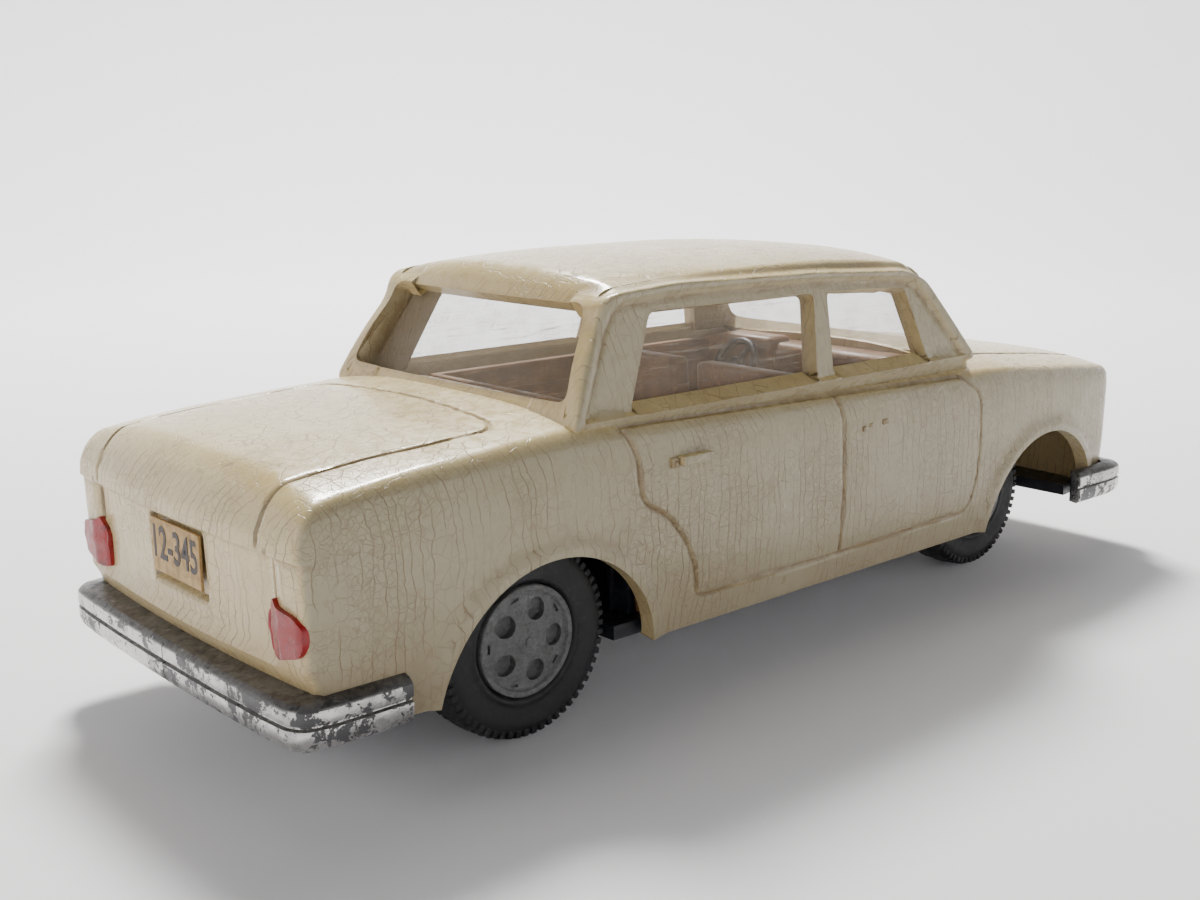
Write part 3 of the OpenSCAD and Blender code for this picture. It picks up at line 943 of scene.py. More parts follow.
def material(name, build, **fixed):
    mat = bpy.data.materials.get(name)
    if mat:
        return mat
    mat = bpy.data.materials.new(name)
    mat.use_nodes = True
    t = mat.node_tree
    shader = t.nodes["Principled BSDF"]
    for k, v in fixed.items():
        shader.inputs[k.replace("_", " ")].default_value = v
    links = build(t) or {}
    height = links.pop("Height", None)
    if height is not None:
        strength, distance, socket = height
        links["Normal"] = put(t, "Bump", {"Strength": strength, "Distance": distance, "Height": socket}).outputs[0]
    for k, v in links.items():
        t.links.new(v, shader.inputs[k])
    return mat


def cream_plastic():
    c = colours()

    def build(t):
        cracks = use_group(t, crazing_group())["Cracks"]
        dirt_and_shade_out = use_group(t, dirt_and_shade_group())
        dust = use_group(t, dust_group(), Amount=0.05)["Dust"]
        patch = ease(t, mottle(t, place(t), 0.055, 4.0, 0.6), 0.38, 0.66)
        soft = mottle(t, place(t), 0.9, 5.0, 0.6)
        col = blend_colours(t, times(t, patch, 0.42), rgba(c.cream), rgba(c.yellowed))
        col = blend_colours(t, ease(t, soft, 0.3, 0.75, 0.0, 0.16), col, rgba(c.cream, 0.72))
        facing = facing_axes(t)
        # Painted shade: faces that look sideways turn towards a much darker cream, standing in for the shade on the
        # flanks and cabin sides.
        painted_side_shade = ease(t, calc(t, "ABSOLUTE", facing[1]), 0.35, 0.92, 0.0, 0.72)
        col = blend_colours(t, painted_side_shade, col, rgba([v * k for v, k in zip(c.cream, (0.37, 0.38, 0.39))]))
        tops = ease(t, facing[2], 0.35, 0.95, 0.0, 0.75)
        col = blend_colours(t, tops, col, (1.02, 0.93, 0.58, 1), "MULTIPLY")
        # Painted shade: faces that look backwards turn darker and warmer.
        tail = ease(t, facing[0], -0.95, -0.50, 0.70, 0.0)
        col = blend_colours(t, tail, col, (0.89, 0.79, 0.59, 1), "MULTIPLY")
        col = blend_colours(t, times(t, cracks, 0.62), col, rgba(c.grime, 1.5))
        col = blend_colours(t, times(t, dirt_and_shade_out["Dirt"], 0.62), col, rgba(c.grime, 1.5))
        col = blend_colours(t, times(t, dirt_and_shade_out["Spots"], 0.45), col, rgba(c.grime, 1.9))
        col = blend_colours(t, dust, col, (0.62, 0.60, 0.56, 1))
        rough = ease(t, mottle(t, place(t), 0.7, 4.0), 0.3, 0.7, 0.22, 0.38)
        rough = plus(t, rough, times(t, most(t, dirt_and_shade_out["Dirt"], cracks), 0.35), clamp=True)
        fine = mottle(t, place(t), 2.4, 3.0)
        h = minus(t, times(t, fine, 0.22), cracks)
        return {"Base Color": col, "Roughness": rough, "Height": (0.6, 0.00009, h)}

    return material("saloon_cream_plastic", build, Coat_Weight=0.30, Coat_Roughness=0.08, IOR=1.46)


def clear_plastic():
    def build(t):
        s = use_group(t, scratches_group())
        shine = put(t, "LayerWeight", {"Blend": 0.5}).outputs["Facing"]
        shine = calc(t, "POWER", shine, 3.5)
        film = plus(t, times(t, s["Scratches"], 0.28), times(t, s["Haze"], 0.05))
        film = plus(t, film, ease(t, mottle(t, place(t), 1.4, 5.0, 0.7), 0.64, 0.74, 0.0, 0.10))
        alpha = plus(t, plus(t, film, 0.11), times(t, shine, 0.55), clamp=True)
        rough = ease(t, s["Haze"], 0.0, 1.0, 0.05, 0.22)
        return {
            "Alpha": alpha, "Roughness": rough,
            "Base Color": blend_colours(t, s["Haze"], (0.60, 0.52, 0.42, 1), (0.46, 0.38, 0.27, 1)),
            "Height": (0.35, 0.00006, minus(t, mottle(t, place(t), 0.8, 4.0), s["Scratches"])),
        }

    return material("saloon_clear_plastic", build, IOR=1.45)


def seat_plastic():
    c = colours()

    def build(t):
        s = use_group(t, scratches_group())
        dust = use_group(t, dust_group(), Amount=0.32)["Dust"]
        n = mottle(t, place(t), 0.35, 5.0)
        col = blend_colours(t, ease(t, n, 0.3, 0.7), rgba(c.brown), rgba(c.brown, 1.9))
        col = blend_colours(t, times(t, s["Scratches"], 0.6), col, rgba(c.brown, 4.2))
        col = blend_colours(t, dust, col, (0.31, 0.18, 0.085, 1))
        grain = mottle(t, place(t), 3.5, 4.0)
        return {"Base Color": col, "Roughness": ease(t, n, 0.3, 0.7, 0.36, 0.58), "Height": (0.5, 0.00010, grain)}

    return material("saloon_seat_plastic", build)


def tinted_plastic(name, base, pale, rough=(0.3, 0.5), dust=0.35, grain=2.6, bump=0.5):
    """Moulded plastic with dust, scuffs and a fine grain."""

    def build(t):
        s = use_group(t, scratches_group())
        d = use_group(t, dust_group(), Amount=dust)["Dust"]
        n = mottle(t, place(t), 0.8, 5.0, 0.6)
        col = blend_colours(t, ease(t, n, 0.35, 0.7), rgba(base), rgba(base, 1.7))
        col = blend_colours(t, times(t, s["Scratches"], 0.35), col, rgba(pale))
        col = blend_colours(t, d, col, rgba(pale))
        g = minus(t, mottle(t, place(t), grain, 4.0), times(t, s["Scratches"], 0.4))
        return {"Base Color": col, "Roughness": ease(t, n, 0.3, 0.7, *rough), "Height": (bump, 0.00012, g)}

    return material(name, build)


def foiled_plastic(name, level):
    """Silver foil over near-black plastic, flaked and scuffed, with a dusty top."""
    c = colours()

    def build(t):
        flake = use_group(t, flaking_group(), Level=level)
        s = use_group(t, scratches_group())
        dust = use_group(t, dust_group(), Amount=0.55)["Dust"]
        up = facing_axes(t)[2]
        top = times(t, ease(t, up, 0.45, 0.72), ease(t, mottle(t, place(t), 0.7, 5.0), 0.22, 0.34))
        gone = most(t, flake["Gone"], top)
        skin = minus(t, 1.0, gone, clamp=True)
        silver = blend_colours(t, s["Haze"], rgba(c.foil), rgba(c.foil, 0.62))
        silver = blend_colours(t, times(t, s["Scratches"], 0.55), silver, rgba(c.foil, 0.30))
        bare = blend_colours(t, dust, rgba(c.black), (0.15, 0.135, 0.11, 1))
        bare = blend_colours(t, times(t, flake["Edge"], 0.12), bare, rgba(c.foil, 0.8))
        col = blend_colours(t, gone, silver, bare)
        rough = plus(t, ease(t, mottle(t, place(t), 1.3, 5.0), 0.3, 0.7, 0.16, 0.34), times(t, gone, 0.14))
        crumple = mottle(t, place(t), 1.0, 6.0, 0.65, 0.8)
        h = plus(t, times(t, skin, 0.8), times(t, crumple, 0.55))
        return {"Base Color": col, "Metallic": skin, "Roughness": rough, "Height": (0.6, 0.00010, h)}

    return material(name, build)


def red_paint():
    c = colours()

    def build(t):
        chips = use_group(t, flaking_group(), Level=0.355)
        n = mottle(t, place(t), 1.2, 5.0)
        red = blend_colours(t, ease(t, n, 0.35, 0.68), rgba(c.lamp), rgba(c.lamp, 1.3))
        dark = ease(t, mottle(t, place(t), 0.9, 4.0), 0.56, 0.70, 0.0, 0.6)
        red = blend_colours(t, dark, red, rgba(c.lamp, 0.35))
        return {
            "Base Color": blend_colours(t, chips["Gone"], red, rgba(c.cream)),
            "Roughness": ease(t, n, 0.3, 0.7, 0.24, 0.45),
            "Height": (
                0.6, 0.00010, minus(t, times(t, mottle(t, place(t), 1.8, 4.0), 0.6), chips["Gone"])
            ),
        }

    return material("saloon_red_paint", build, Coat_Weight=0.15)


def label_card():
    c = colours()

    def build(t):
        n = mottle(t, place(t), 0.9, 6.0, 0.7)
        fibre = mottle(t, place(t, (1, 0.4, 2.4)), 3.0, 4.0)
        col = blend_colours(t, ease(t, n, 0.3, 0.72), rgba(c.card), rgba(c.card, 0.55))
        col = blend_colours(t, ease(t, fibre, 0.55, 0.75, 0.0, 0.35), col, rgba(c.card, 0.35))
        return {"Base Color": col, "Roughness": ease(t, n, 0.3, 0.7, 0.45, 0.75), "Height": (0.4, 0.00006, fibre)}

    return material("saloon_label_card", build)


def drawn_ink():
    def build(t):
        n = mottle(t, place(t), 3.2, 5.0, 0.7)
        col = blend_colours(t, ease(t, n, 0.40, 0.66), (0.012, 0.012, 0.018, 1), (0.10, 0.07, 0.05, 1))
        return {"Base Color": col, "Roughness": ease(t, n, 0.3, 0.7, 0.45, 0.7)}

    return material("saloon_label_ink", build)


def cast_disc():
    c = colours()

    def build(t):
        pits = ease(t, mottle(t, place(t), 2.6, 6.0, 0.75), 0.38, 0.62)
        wornness = ease(t, mottle(t, place(t), 0.8, 5.0), 0.46, 0.66)
        grime = ease(t, mottle(t, place(t, (1, 1, 1), (7, 3, 1)), 0.7, 5.0, 0.7), 0.52, 0.72)
        col = blend_colours(t, pits, rgba(c.disc, 0.82), rgba(c.disc, 1.12))
        col = blend_colours(t, times(t, wornness, 0.22), col, rgba(c.disc, 1.6))
        col = blend_colours(t, times(t, grime, 0.35), col, (0.075, 0.060, 0.045, 1))
        return {
            "Base Color": col, "Roughness": ease(t, pits, 0.0, 1.0, 0.52, 0.34),
            "Height": (0.65, 0.00012, pits),
        }

    return material("saloon_cast_disc", build, Metallic=0.35)


def tyre_rubber():
    def build(t):
        n = mottle(t, place(t), 1.4, 6.0, 0.7)
        dust = use_group(t, dust_group(), Amount=0.18)["Dust"]
        scuff = ease(t, mottle(t, place(t, (1, 1, 1), (4, 9, 2)), 0.8, 5.0, 0.7), 0.54, 0.70)
        col = blend_colours(t, ease(t, n, 0.35, 0.7), (0.004, 0.004, 0.005, 1), (0.011, 0.011, 0.012, 1))
        col = blend_colours(t, times(t, scuff, 0.22), col, (0.06, 0.056, 0.052, 1))
        col = blend_colours(t, dust, col, (0.16, 0.15, 0.14, 1))
        return {"Base Color": col, "Roughness": ease(t, n, 0.3, 0.7, 0.48, 0.72), "Height": (0.5, 0.00010, n)}

    return material("saloon_tyre_rubber", build)


def bare_steel(name, tone):
    def build(t):
        n = mottle(t, place(t), 1.6, 6.0, 0.7)
        rust = ease(t, mottle(t, place(t), 0.7, 6.0, 0.75), 0.58, 0.68)
        turned = mottle(t, place(t, (1, 6, 1)), 1.4, 3.0)
        bright, dull = (tone, tone, tone * 1.02, 1), (tone * 0.6, tone * 0.58, tone * 0.56, 1)
        col = blend_colours(t, ease(t, n, 0.3, 0.7), bright, dull)
        col = blend_colours(t, rust, col, (0.12, 0.045, 0.018, 1))
        return {
            "Base Color": col, "Metallic": ease(t, rust, 0.0, 1.0, 1.0, 0.1),
            "Roughness": ease(t, n, 0.3, 0.7, 0.26, 0.50), "Height": (0.4, 0.00008, turned),
        }

    return material(name, build)


def lamp_clear():
    def build(t):
        n = mottle(t, place(t), 1.1, 5.0)
        ribs = put(
            t, "TexWave", {"Vector": place(t), "Scale": 0.55, "Distortion": 0.4}, bands_direction="Y"
        ).outputs[1]
        col = blend_colours(t, ease(t, n, 0.35, 0.7), (0.62, 0.61, 0.57, 1), (0.42, 0.37, 0.28, 1))
        return {"Base Color": col, "Roughness": ease(t, n, 0.3, 0.7, 0.10, 0.26), "Height": (0.7, 0.00018, ribs)}

    return material("saloon_headlamp_clear", build, Coat_Weight=0.8, Metallic=0.25)


def studio_floor():
    def build(t):
        n = mottle(t, put(t, "TexCoord").outputs["Object"], 9.0, 5.0)
        col = blend_colours(t, n, (0.83, 0.83, 0.85, 1), (0.87, 0.87, 0.885, 1))
        return {"Base Color": col, "Roughness": ease(t, n, 0.3, 0.7, 0.75, 0.85)}

    return material("studio_paper", build)


# Small parts


def panel_from(name, outline, near, far, plane=(1, 2), depth_axis=0):
    """A flat plate with a drawn outline: a plane opened to the outline's points, then extruded."""
    deselect()
    bpy.ops.mesh.primitive_circle_add(vertices=len(outline), radius=1, fill_type="NGON")
    obj = bpy.context.object
    obj.name = obj.data.name = name
    co = np.zeros((len(outline), 3))
    co[:, plane[0]], co[:, plane[1]] = np.array(outline).T
    co[:, depth_axis] = near
    set_coords(obj, co)
    edit(obj)
    shift = [0, 0, 0]
    shift[depth_axis] = far - near
    bpy.ops.mesh.extrude_region_move(TRANSFORM_OT_translate={"value": shift})
    leave()
    return recalc(obj)


def length_along(path):
    """How far each point of a path lies from its start."""
    return np.concatenate([[0], np.cumsum(np.linalg.norm(np.diff(path, axis=0), axis=1))])


def path_at(path, run, at):
    return np.stack([np.interp(at, run, path[:, k]) for k in range(2)], -1)


def swept_bar(name, profile, path, depth, steps):
    """A rod whose section becomes the profile and whose length follows the path in plan."""
    n = len(profile)
    obj = rod(name, 1.0, 2.0, (0, 0, 0), "X", n)
    cut_planes(obj, 0, np.linspace(-1, 1, steps + 1)[1:-1])
    co = coords(obj)
    angle = np.arctan2(co[:, 2], co[:, 1])
    step = 2 * math.pi / n
    index = np.round((angle - angle[0]) / step).astype(int) % n
    profile, path = np.array(profile), np.array(path)
    run = length_along(path)
    at = (co[:, 0] + 1) / 2 * run[-1]
    xy = path_at(path, run, at)
    d = path_at(path, run, at + 0.3) - path_at(path, run, at - 0.3)
    d /= np.linalg.norm(d, axis=1, keepdims=True)
    out = np.stack([d[:, 1], -d[:, 0]], -1)
    reach = profile[index, 0]
    deep = np.interp(at, run, depth)
    reach = np.where(reach < -0.9, -deep, reach)
    new = np.empty_like(co)
    new[:, :2] = xy + out * reach[:, None]
    new[:, 2] = profile[index, 1]
    set_coords(obj, new)
    return recalc(obj, 0)


BUMPER_STEPS = 149


def make_bumper(name, end, z0, z1):
    """Band round one end of the car: two facets with a groove between, and a flat ledge."""
    wrap = 51.2 if end < 0 else 50.4
    tip = 62.42
    half = [(wrap, 22.4), (58.4, 22.5), (60.9, 22.0), (61.8, 20.6), (62.1, 17.0), (tip - 0.08, 9.0), (tip, 0)]
    pts = [(x * end, y) for x, y in half]
    pts += [(x, -y) for x, y in reversed(pts[:-1])]
    path = rounded(pts, 1.6, 7)
    # Evenly spaced points keep the bends smooth
    run = length_along(path)
    path = path_at(path, run, np.linspace(0, run[-1], BUMPER_STEPS + 1))
    if end > 0:
        path = path[::-1]
    depth = 1.55 + 1.9 * unit((np.abs(path[:, 0]) - 58.0) / 3.0)
    h = z1 - z0
    outline = [
        (-1.0, z0 + 0.15), (-0.55, z0), (-0.25, z0 + 0.25), (0.0, z0 + 0.22 * h), (0.0, z0 + 0.42 * h),
        (-0.34, z0 + 0.445 * h), (-0.34, z0 + 0.495 * h), (0.0, z0 + 0.52 * h), (-0.02, z0 + 0.76 * h),
        (-0.24, z0 + 0.82 * h), (-0.6, z0 + 0.87 * h), (-1.0, z0 + 0.93 * h),
    ]
    profile = []
    for i, p in enumerate(outline):
        q = outline[(i + 1) % len(outline)]
        profile.append(p)
        if math.dist(p, q) > 0.5 and i < len(outline) - 1:
            profile.append(((p[0] + q[0]) / 2, (p[1] + q[1]) / 2))
    obj = swept_bar(name, profile, path, depth, BUMPER_STEPS)
    bevel(obj, 0.07, 2, 24)
    split = block("split", (end * (tip + 1), -0.07, z0 - 1), (end * (tip - 0.28), 0.07, z1 + 1))
    return boolean(obj, split)


def make_tail_lamp(name, side):
    """Red relief lamp that wraps round the corner of the body."""
    outline = rounded(
        [(16.9, 18.5), (15.6, 16.7), (15.9, 13.5), (17.3, 13.4), (20.6, 14.3), (21.15, 15.3),
         (21.15, 16.8), (20.2, 17.5), (17.5, 17.9)], 0.45, 4, closed=True,
    )
    outline = [(y * side, z) for y, z in outline[:-1]]
    if side > 0:
        outline = outline[::-1]
    plate = panel_from(name, outline, -64.0, -59.0)
    skin = side_block("skin", side, (-63.5, -57.0), (13.5, 22.1), (12.5, 19.6))
    for axis, n in ((0, 22), (1, 30), (2, 24)):
        lo, hi = coords(skin)[:, axis].min(), coords(skin)[:, axis].max()
        cut_planes(skin, axis, np.linspace(lo, hi, n + 1)[1:-1])
    co = coords(skin)
    anchor = np.stack([np.full(len(co), -56.6), np.full(len(co), 14.0 * side), co[:, 2]], -1)
    at = project(lower_field, anchor, co + [-1e-4, 1e-4 * side, 0])
    n = field_normal(lower_field, at)
    rise = 0.42 + 0.10 * bell(co[:, 2] - 15.9, 0.5) - 0.10 * bell(np.abs(co[:, 1]) - 18.6, 0.35)
    outer = (co[:, 0] < -63.4) | (np.abs(co[:, 1]) > 22.0)
    ends = (np.abs(co[:, 1]) < 13.6) | (co[:, 0] > -57.1)
    shift = np.where(outer, rise, -0.9)[:, None]
    new = np.where((outer | ends)[:, None], at + n * shift, at - n * 0.9)
    set_coords(skin, new)
    recalc(skin, 0)
    boolean(plate, skin, "INTERSECT")
    bevel(plate, 0.10, 2, 50)
    return plate


def inset_steps(*steps):
    """Turns the picked face into rings: each step goes inwards, then out or in."""
    for inwards, out in steps:
        bpy.ops.mesh.inset(thickness=inwards, depth=out)
    leave()


def make_disc(name):
    """Wheel disc facing -Y at the origin: lip, domed face, five round recesses, slots and a boss."""
    w = wheel_sizes()
    r = float(DISC_HI[2] - DISC_LO[2]) / 2
    obj = rod(name, r, 4.2, (0, 2.1, 0), "Y", 96)
    pick_faces(obj, face_centres(obj)[:, 1] < 0.01)
    inset_steps(
        (0.10, 0.08), (0.42, 0.0), (0.16, -0.28), (0.30, -0.02), (0.9, 0.16), (0.9, 0.14), (0.9, 0.07), (0.7, 0.02)
    )
    face = 0.17
    deep = w.recess_depth / MM
    for k in range(5):
        a = math.radians(90 + 72 * k)
        x, z = 3.0 * math.cos(a), 3.0 * math.sin(a)
        boolean(obj, rod("cup", 1.16, deep * 2, (x, face - 0.10, z), "Y", 28, 0.92))
        b = a + math.radians(36)
        slot = block("slot", (-0.42, face - 0.6, 4.02), (0.42, face + 0.32, 4.30))
        slot.data.transform(Matrix.Rotation(b - math.pi / 2, 4, "Y").inverted())
        boolean(obj, slot)
    boss = rod("boss", w.boss_radius / MM, 1.0, (0, face + 0.12, 0), "Y", 32)
    bevel(boss, 0.14, 3)
    pin = rod("pin", 0.50, 0.3, (0, face - 0.42, 0), "Y", 24, 0.42)
    bevel(obj, 0.05, 2, 40)
    return join(name, [obj, boss, pin])


def make_tyre(name):
    """Rubber tyre round -Y..+Y at the origin, with nubs round both shoulders."""
    w = wheel_sizes()
    r = float(TYRE_REAR_HI[2]) / 2
    half = float(TYRE_REAR_HI[1] - TYRE_REAR_LO[1]) / 2
    inner = float(DISC_HI[2] - DISC_LO[2]) / 2
    section = rounded(
        [(inner - 0.05, -half + 0.75), (inner + 0.5, -half + 0.05), (inner + 1.0, -half + 0.25), (r - 1.3, -half),
         (r - 0.30, -half + 0.62), (r - 0.16, -half + 1.3), (r, 0), (r - 0.16, half - 1.3), (r - 0.30, half - 0.62),
         (r - 1.3, half), (inner + 0.5, half - 0.05), (inner - 0.05, half - 0.75)], 0.5, 4, closed=True
    )[:-1]
    deselect()
    bpy.ops.mesh.primitive_circle_add(vertices=len(section), radius=1, fill_type="NOTHING")
    obj = bpy.context.object
    set_coords(obj, np.stack([section[:, 0], section[:, 1], np.zeros(len(section))], -1))
    edit(obj, "VERT")
    bpy.ops.mesh.spin(steps=104, angle=2 * math.pi, center=(0, 0, 0), axis=(0, 1, 0))
    leave()
    recalc(obj, 0.004)
    lugs = []
    lug = block("lug", (-0.27, -half + 0.08, r - 1.05), (0.27, -half + 1.05, r - 0.10))
    co = coords(lug)
    far = (co[:, 1] < -half + 0.5) & (co[:, 2] > r - 0.5)
    co[far, 2] -= 0.30
    co[:, 1] = np.where(co[:, 1] < -half + 0.5, co[:, 1] + 0.02, co[:, 1])
    set_coords(lug, co)
    bevel(lug, 0.07, 1)
    for s in (1, -1):
        for k in range(w.nubs):
            turn = Matrix.Rotation(2 * math.pi * (k + (0.5 if s < 0 else 0)) / w.nubs, 4, "Y")
            flip = Matrix.Scale(s, 4, (0, 1, 0))
            lugs.append(turned_copy(lug, "lug_copy", turn @ flip))
    bpy.data.objects.remove(lug, do_unlink=True)
    return join(name, [obj] + lugs)


def make_seat(x, y, width, top):
    """Seat with a leaning back and a ribbed cushion: a single one or the rear bench."""
    bench = width >= 20
    foot = 17.5 if bench else 9.0
    back = block("back", (x - 0.8, y - width / 2, foot), (x + 1.9, y + width / 2, top))
    cut_planes(back, 2, (18, 21, 24, top - 1.5))
    co = coords(back)
    co[:, 0] -= 0.055 * (co[:, 2] - 9.0)
    set_coords(back, co)
    bevel(back, 0.7, 4)
    base = block("base", (x + (3.0 if bench else 0.5), y - width / 2, 9.0), (x + 8.6, y + width / 2, 15.2))
    bevel(base, 0.8, 4)
    ribs = [
        rod("rib", 0.16, 7.0, (x + 5.0, y - width / 2 + width * k / 5, 15.15), "X", 10) for k in range(1, 5)
    ]
    return [back, base] + ribs


def make_interior():
    """Open tub with door cards, arm rests, three seats, rear shelf, dash and tunnel."""
    w = 17.4
    x0, x1, top = -26.2, 26.9, 27.7
    tub = block("tub", (x0 + 4.2, -w, TUB_FLOOR), (x1, w, top))
    pick_faces(tub, face_centres(tub)[:, 2] > top - 0.01)
    bpy.ops.mesh.inset(thickness=1.0, depth=0)
    bpy.ops.mesh.extrude_region_move(TRANSFORM_OT_translate={"value": (0, 0, -(top - TUB_FLOOR - 1.0))})
    leave()
    recalc(tub)
    bevel(tub, 0.25, 3)
    parts = [tub]
    for s in (-1, 1):
        card = side_block("card", s, (x0 + 5.4, x1 - 6), (w - 1.4, w - 0.9), (15.0, 25.0))
        bevel(card, 0.2, 2)
        rest = side_block("rest", s, (-10, 4), (w - 2.4, w - 1.0), (20.0, 21.4))
        bevel(rest, 0.4, 3)
        parts += [card, rest]
    parts += make_seat(x0 + 2.2, 0.0, 2 * w - 2.6, 27.9)
    for s in (-1, 1):
        parts += make_seat(3.0, s * 9.0, 14.6, 28.6)
    shelf = block("shelf", (-31.0, -17.2, 25.9), (x0 + 1.0, 17.2, 27.1))
    bevel(shelf, 0.3, 3)
    slats = [rod("slat", 0.14, 22.0, (-29.8 + 0.8 * k, 0, 27.05), "Y", 10) for k in range(4)]
    dash = block("dash", (x1 - 5.2, -w + 0.2, 20.5), (x1 + 0.1, w - 0.2, 28.0))
    bevel(dash, 1.1, 5)
    binnacle = block("binnacle", (x1 - 6.2, 4.6, 24.0), (x1 - 2.0, 13.4, 28.7))
    bevel(binnacle, 0.8, 4)
    tunnel = block("tunnel", (-16, -2.0, 9.0), (x1 - 4, 2.0, 11.0))
    bevel(tunnel, 0.8, 4)
    return join("interior", parts + [shelf, dash, binnacle, tunnel] + slats)


def make_steering_wheel():
    """Ribbed rim, three spokes, hub and column, leaning back on the driver's side."""
    deselect()
    bpy.ops.mesh.primitive_torus_add(major_segments=72, minor_segments=14, major_radius=3.1, minor_radius=0.44)
    rim = bpy.context.object
    co = coords(rim)
    a = np.arctan2(co[:, 1], co[:, 0])
    ring = 3.1 * np.stack([np.cos(a), np.sin(a)], -1)
    grow = 1 + 0.10 * np.cos(36 * a)
    co[:, :2] = ring + (co[:, :2] - ring) * grow[:, None]
    co[:, 2] *= grow
    set_coords(rim, co)
    parts = [rim]
    for deg in (90, 210, 330):
        spoke = block("spoke", (0.2, -0.32, -0.24), (3.0, 0.32, 0.2))
        bevel(spoke, 0.12, 3)
        spoke.data.transform(Matrix.Rotation(math.radians(deg), 4, "Z"))
        parts.append(spoke)
    hub = rod("hub", 0.85, 0.8, (0, 0, 0), "Z", 32)
    bevel(hub, 0.2, 3)
    column = rod("column", 0.42, 3.6, (0, 0, -1.7), "Z", 24)
    obj = join("steering_wheel_rim", parts + [hub, column])
    lo, hi = node_mm("steering_wheel")
    mid = (lo + hi) / 2
    obj.data.transform(Matrix.Rotation(math.radians(-62), 4, "Y"))
    co = coords(obj)
    centre = (co.max(0) + co.min(0)) / 2
    set_coords(obj, co + (mid - centre))
    return obj


def make_grille():
    lo, hi = node_mm("front_grille")
    lo[0] -= 1.1
    frame_part = block("front_grille_frame", lo, hi)
    pick_faces(frame_part, face_centres(frame_part)[:, 0] > hi[0] - 0.01)
    bpy.ops.mesh.inset(thickness=0.5, depth=0)
    bpy.ops.mesh.extrude_region_move(TRANSFORM_OT_translate={"value": (-0.45, 0, 0)})
    leave()
    recalc(frame_part)
    bevel(frame_part, 0.10, 2)
    bars = []
    for k in range(5):
        z = lo[2] + 1.05 + k * (hi[2] - lo[2] - 2.1) / 4
        bars.append(rod("bar", 0.2, 2 * hi[1] - 1.0, (hi[0] - 0.28, 0, z), "Y", 12))
    for k in range(9):
        y = (k - 4) * 2.4
        bars.append(rod("post", 0.13, hi[2] - lo[2] - 1.0, (hi[0] - 0.33, y, (lo[2] + hi[2]) / 2), "Z", 10))
    return join("front_grille_frame", [frame_part] + bars)


def make_headlamp(name, node):
    lo, hi = node_mm(node)
    mid = (lo + hi) / 2
    r = (hi[2] - lo[2]) / 2
    obj = rod(name, r, 2.6, (hi[0] - 1.5, mid[1], mid[2]), "X", 64)
    pick_faces(obj, face_centres(obj)[:, 0] > hi[0] - 0.25)
    inset_steps((0.14, 0.10), (0.28, 0.0), (0.12, -0.34), (0.4, 0.20), (0.5, 0.12), (0.5, 0.06), (0.4, 0.02))
    bevel(obj, 0.05, 2, 40)
    return obj


def make_label():
    lo, hi = node_mm("rear_plate_label")
    card = block("rear_label_card", lo, hi)
    cut_planes(card, 1, np.linspace(lo[1], hi[1], 14)[1:-1])
    co = coords(card)
    co[:, 0] -= 0.05 * (co[:, 1] / 4.7) ** 4
    set_coords(card, co)
    bevel(card, 0.05, 2)
    return card, lo, hi


def make_digits(lo, hi):
    """Generic hand-drawn digits on the label."""
    deselect()
    bpy.ops.object.text_add(location=(0, 0, 0))
    text = bpy.context.object
    text.data.body = "12-345"
    text.data.align_x, text.data.align_y = "CENTER", "CENTER"
    text.data.size, text.data.extrude, text.data.offset = 3.2, 0.03, 0.045
    text.data.resolution_u = 6
    bpy.ops.object.convert(target="MESH")
    obj = bpy.context.object
    obj.name = obj.data.name = "rear_label_digits"
    co = coords(obj)
    co -= (co.max(0) + co.min(0)) / 2
    size = co.max(0) - co.min(0)
    co[:, 0] *= 8.5 / size[0]
    co[:, 1] *= 3.1 / size[1]
    new = np.stack([np.full(len(co), lo[0] - 0.02) - co[:, 2], -co[:, 0], co[:, 1] + (lo[2] + hi[2]) / 2 + 0.35], -1)
    set_coords(obj, new)
    return recalc(obj)


def make_glazing():
    """The cabin's shape again, thinner and further in, without lines or openings."""

    def flat(p):
        return np.full(len(p), -1.72), np.zeros(len(p))

    def none(p):
        return np.full(len(p), 9.0), np.full(len(p), 9.0)

    return wrap_shell(
        "window_panes", cabin_field, (-34.0, -20.6, 26.4), (31.0, 20.6, ROOF),
        (-21.0, -12.5, -99.0), (15.5, 12.5, 37.5), (40, 26, 14), none, [], [], flat, 0.55,
    )


# One operator for each piece or group of like pieces


class SaloonPiece:
    bl_options = {"REGISTER", "UNDO"}


class SALOON_OT_body(SaloonPiece, bpy.types.Operator):
    """Moulds the lower body and the cabin, with their engraved lines, arches and windows"""

    bl_idname = "saloon.body"
    bl_label = "Body"

    def execute(self, context):
        finish_piece(make_lower_body(), "car", cream_plastic(), ["body_shell"])
        finish_piece(make_cabin(), "car", cream_plastic(), ["body_shell"])
        return {"FINISHED"}


class SALOON_OT_glazing(SaloonPiece, bpy.types.Operator):
    """Makes the clear moulding behind the windows"""

    bl_idname = "saloon.glazing"
    bl_label = "Window panes"

    def execute(self, context):
        finish_piece(make_glazing(), "car", clear_plastic(), ["window_glazing"])
        return {"FINISHED"}


class SALOON_OT_interior(SaloonPiece, bpy.types.Operator):
    """Makes the seat tub with its seats, shelf and dash"""

    bl_idname = "saloon.interior"
    bl_label = "Interior"

    def execute(self, context):
        finish_piece(make_interior(), "car", seat_plastic(), ["interior_tub"])
        return {"FINISHED"}


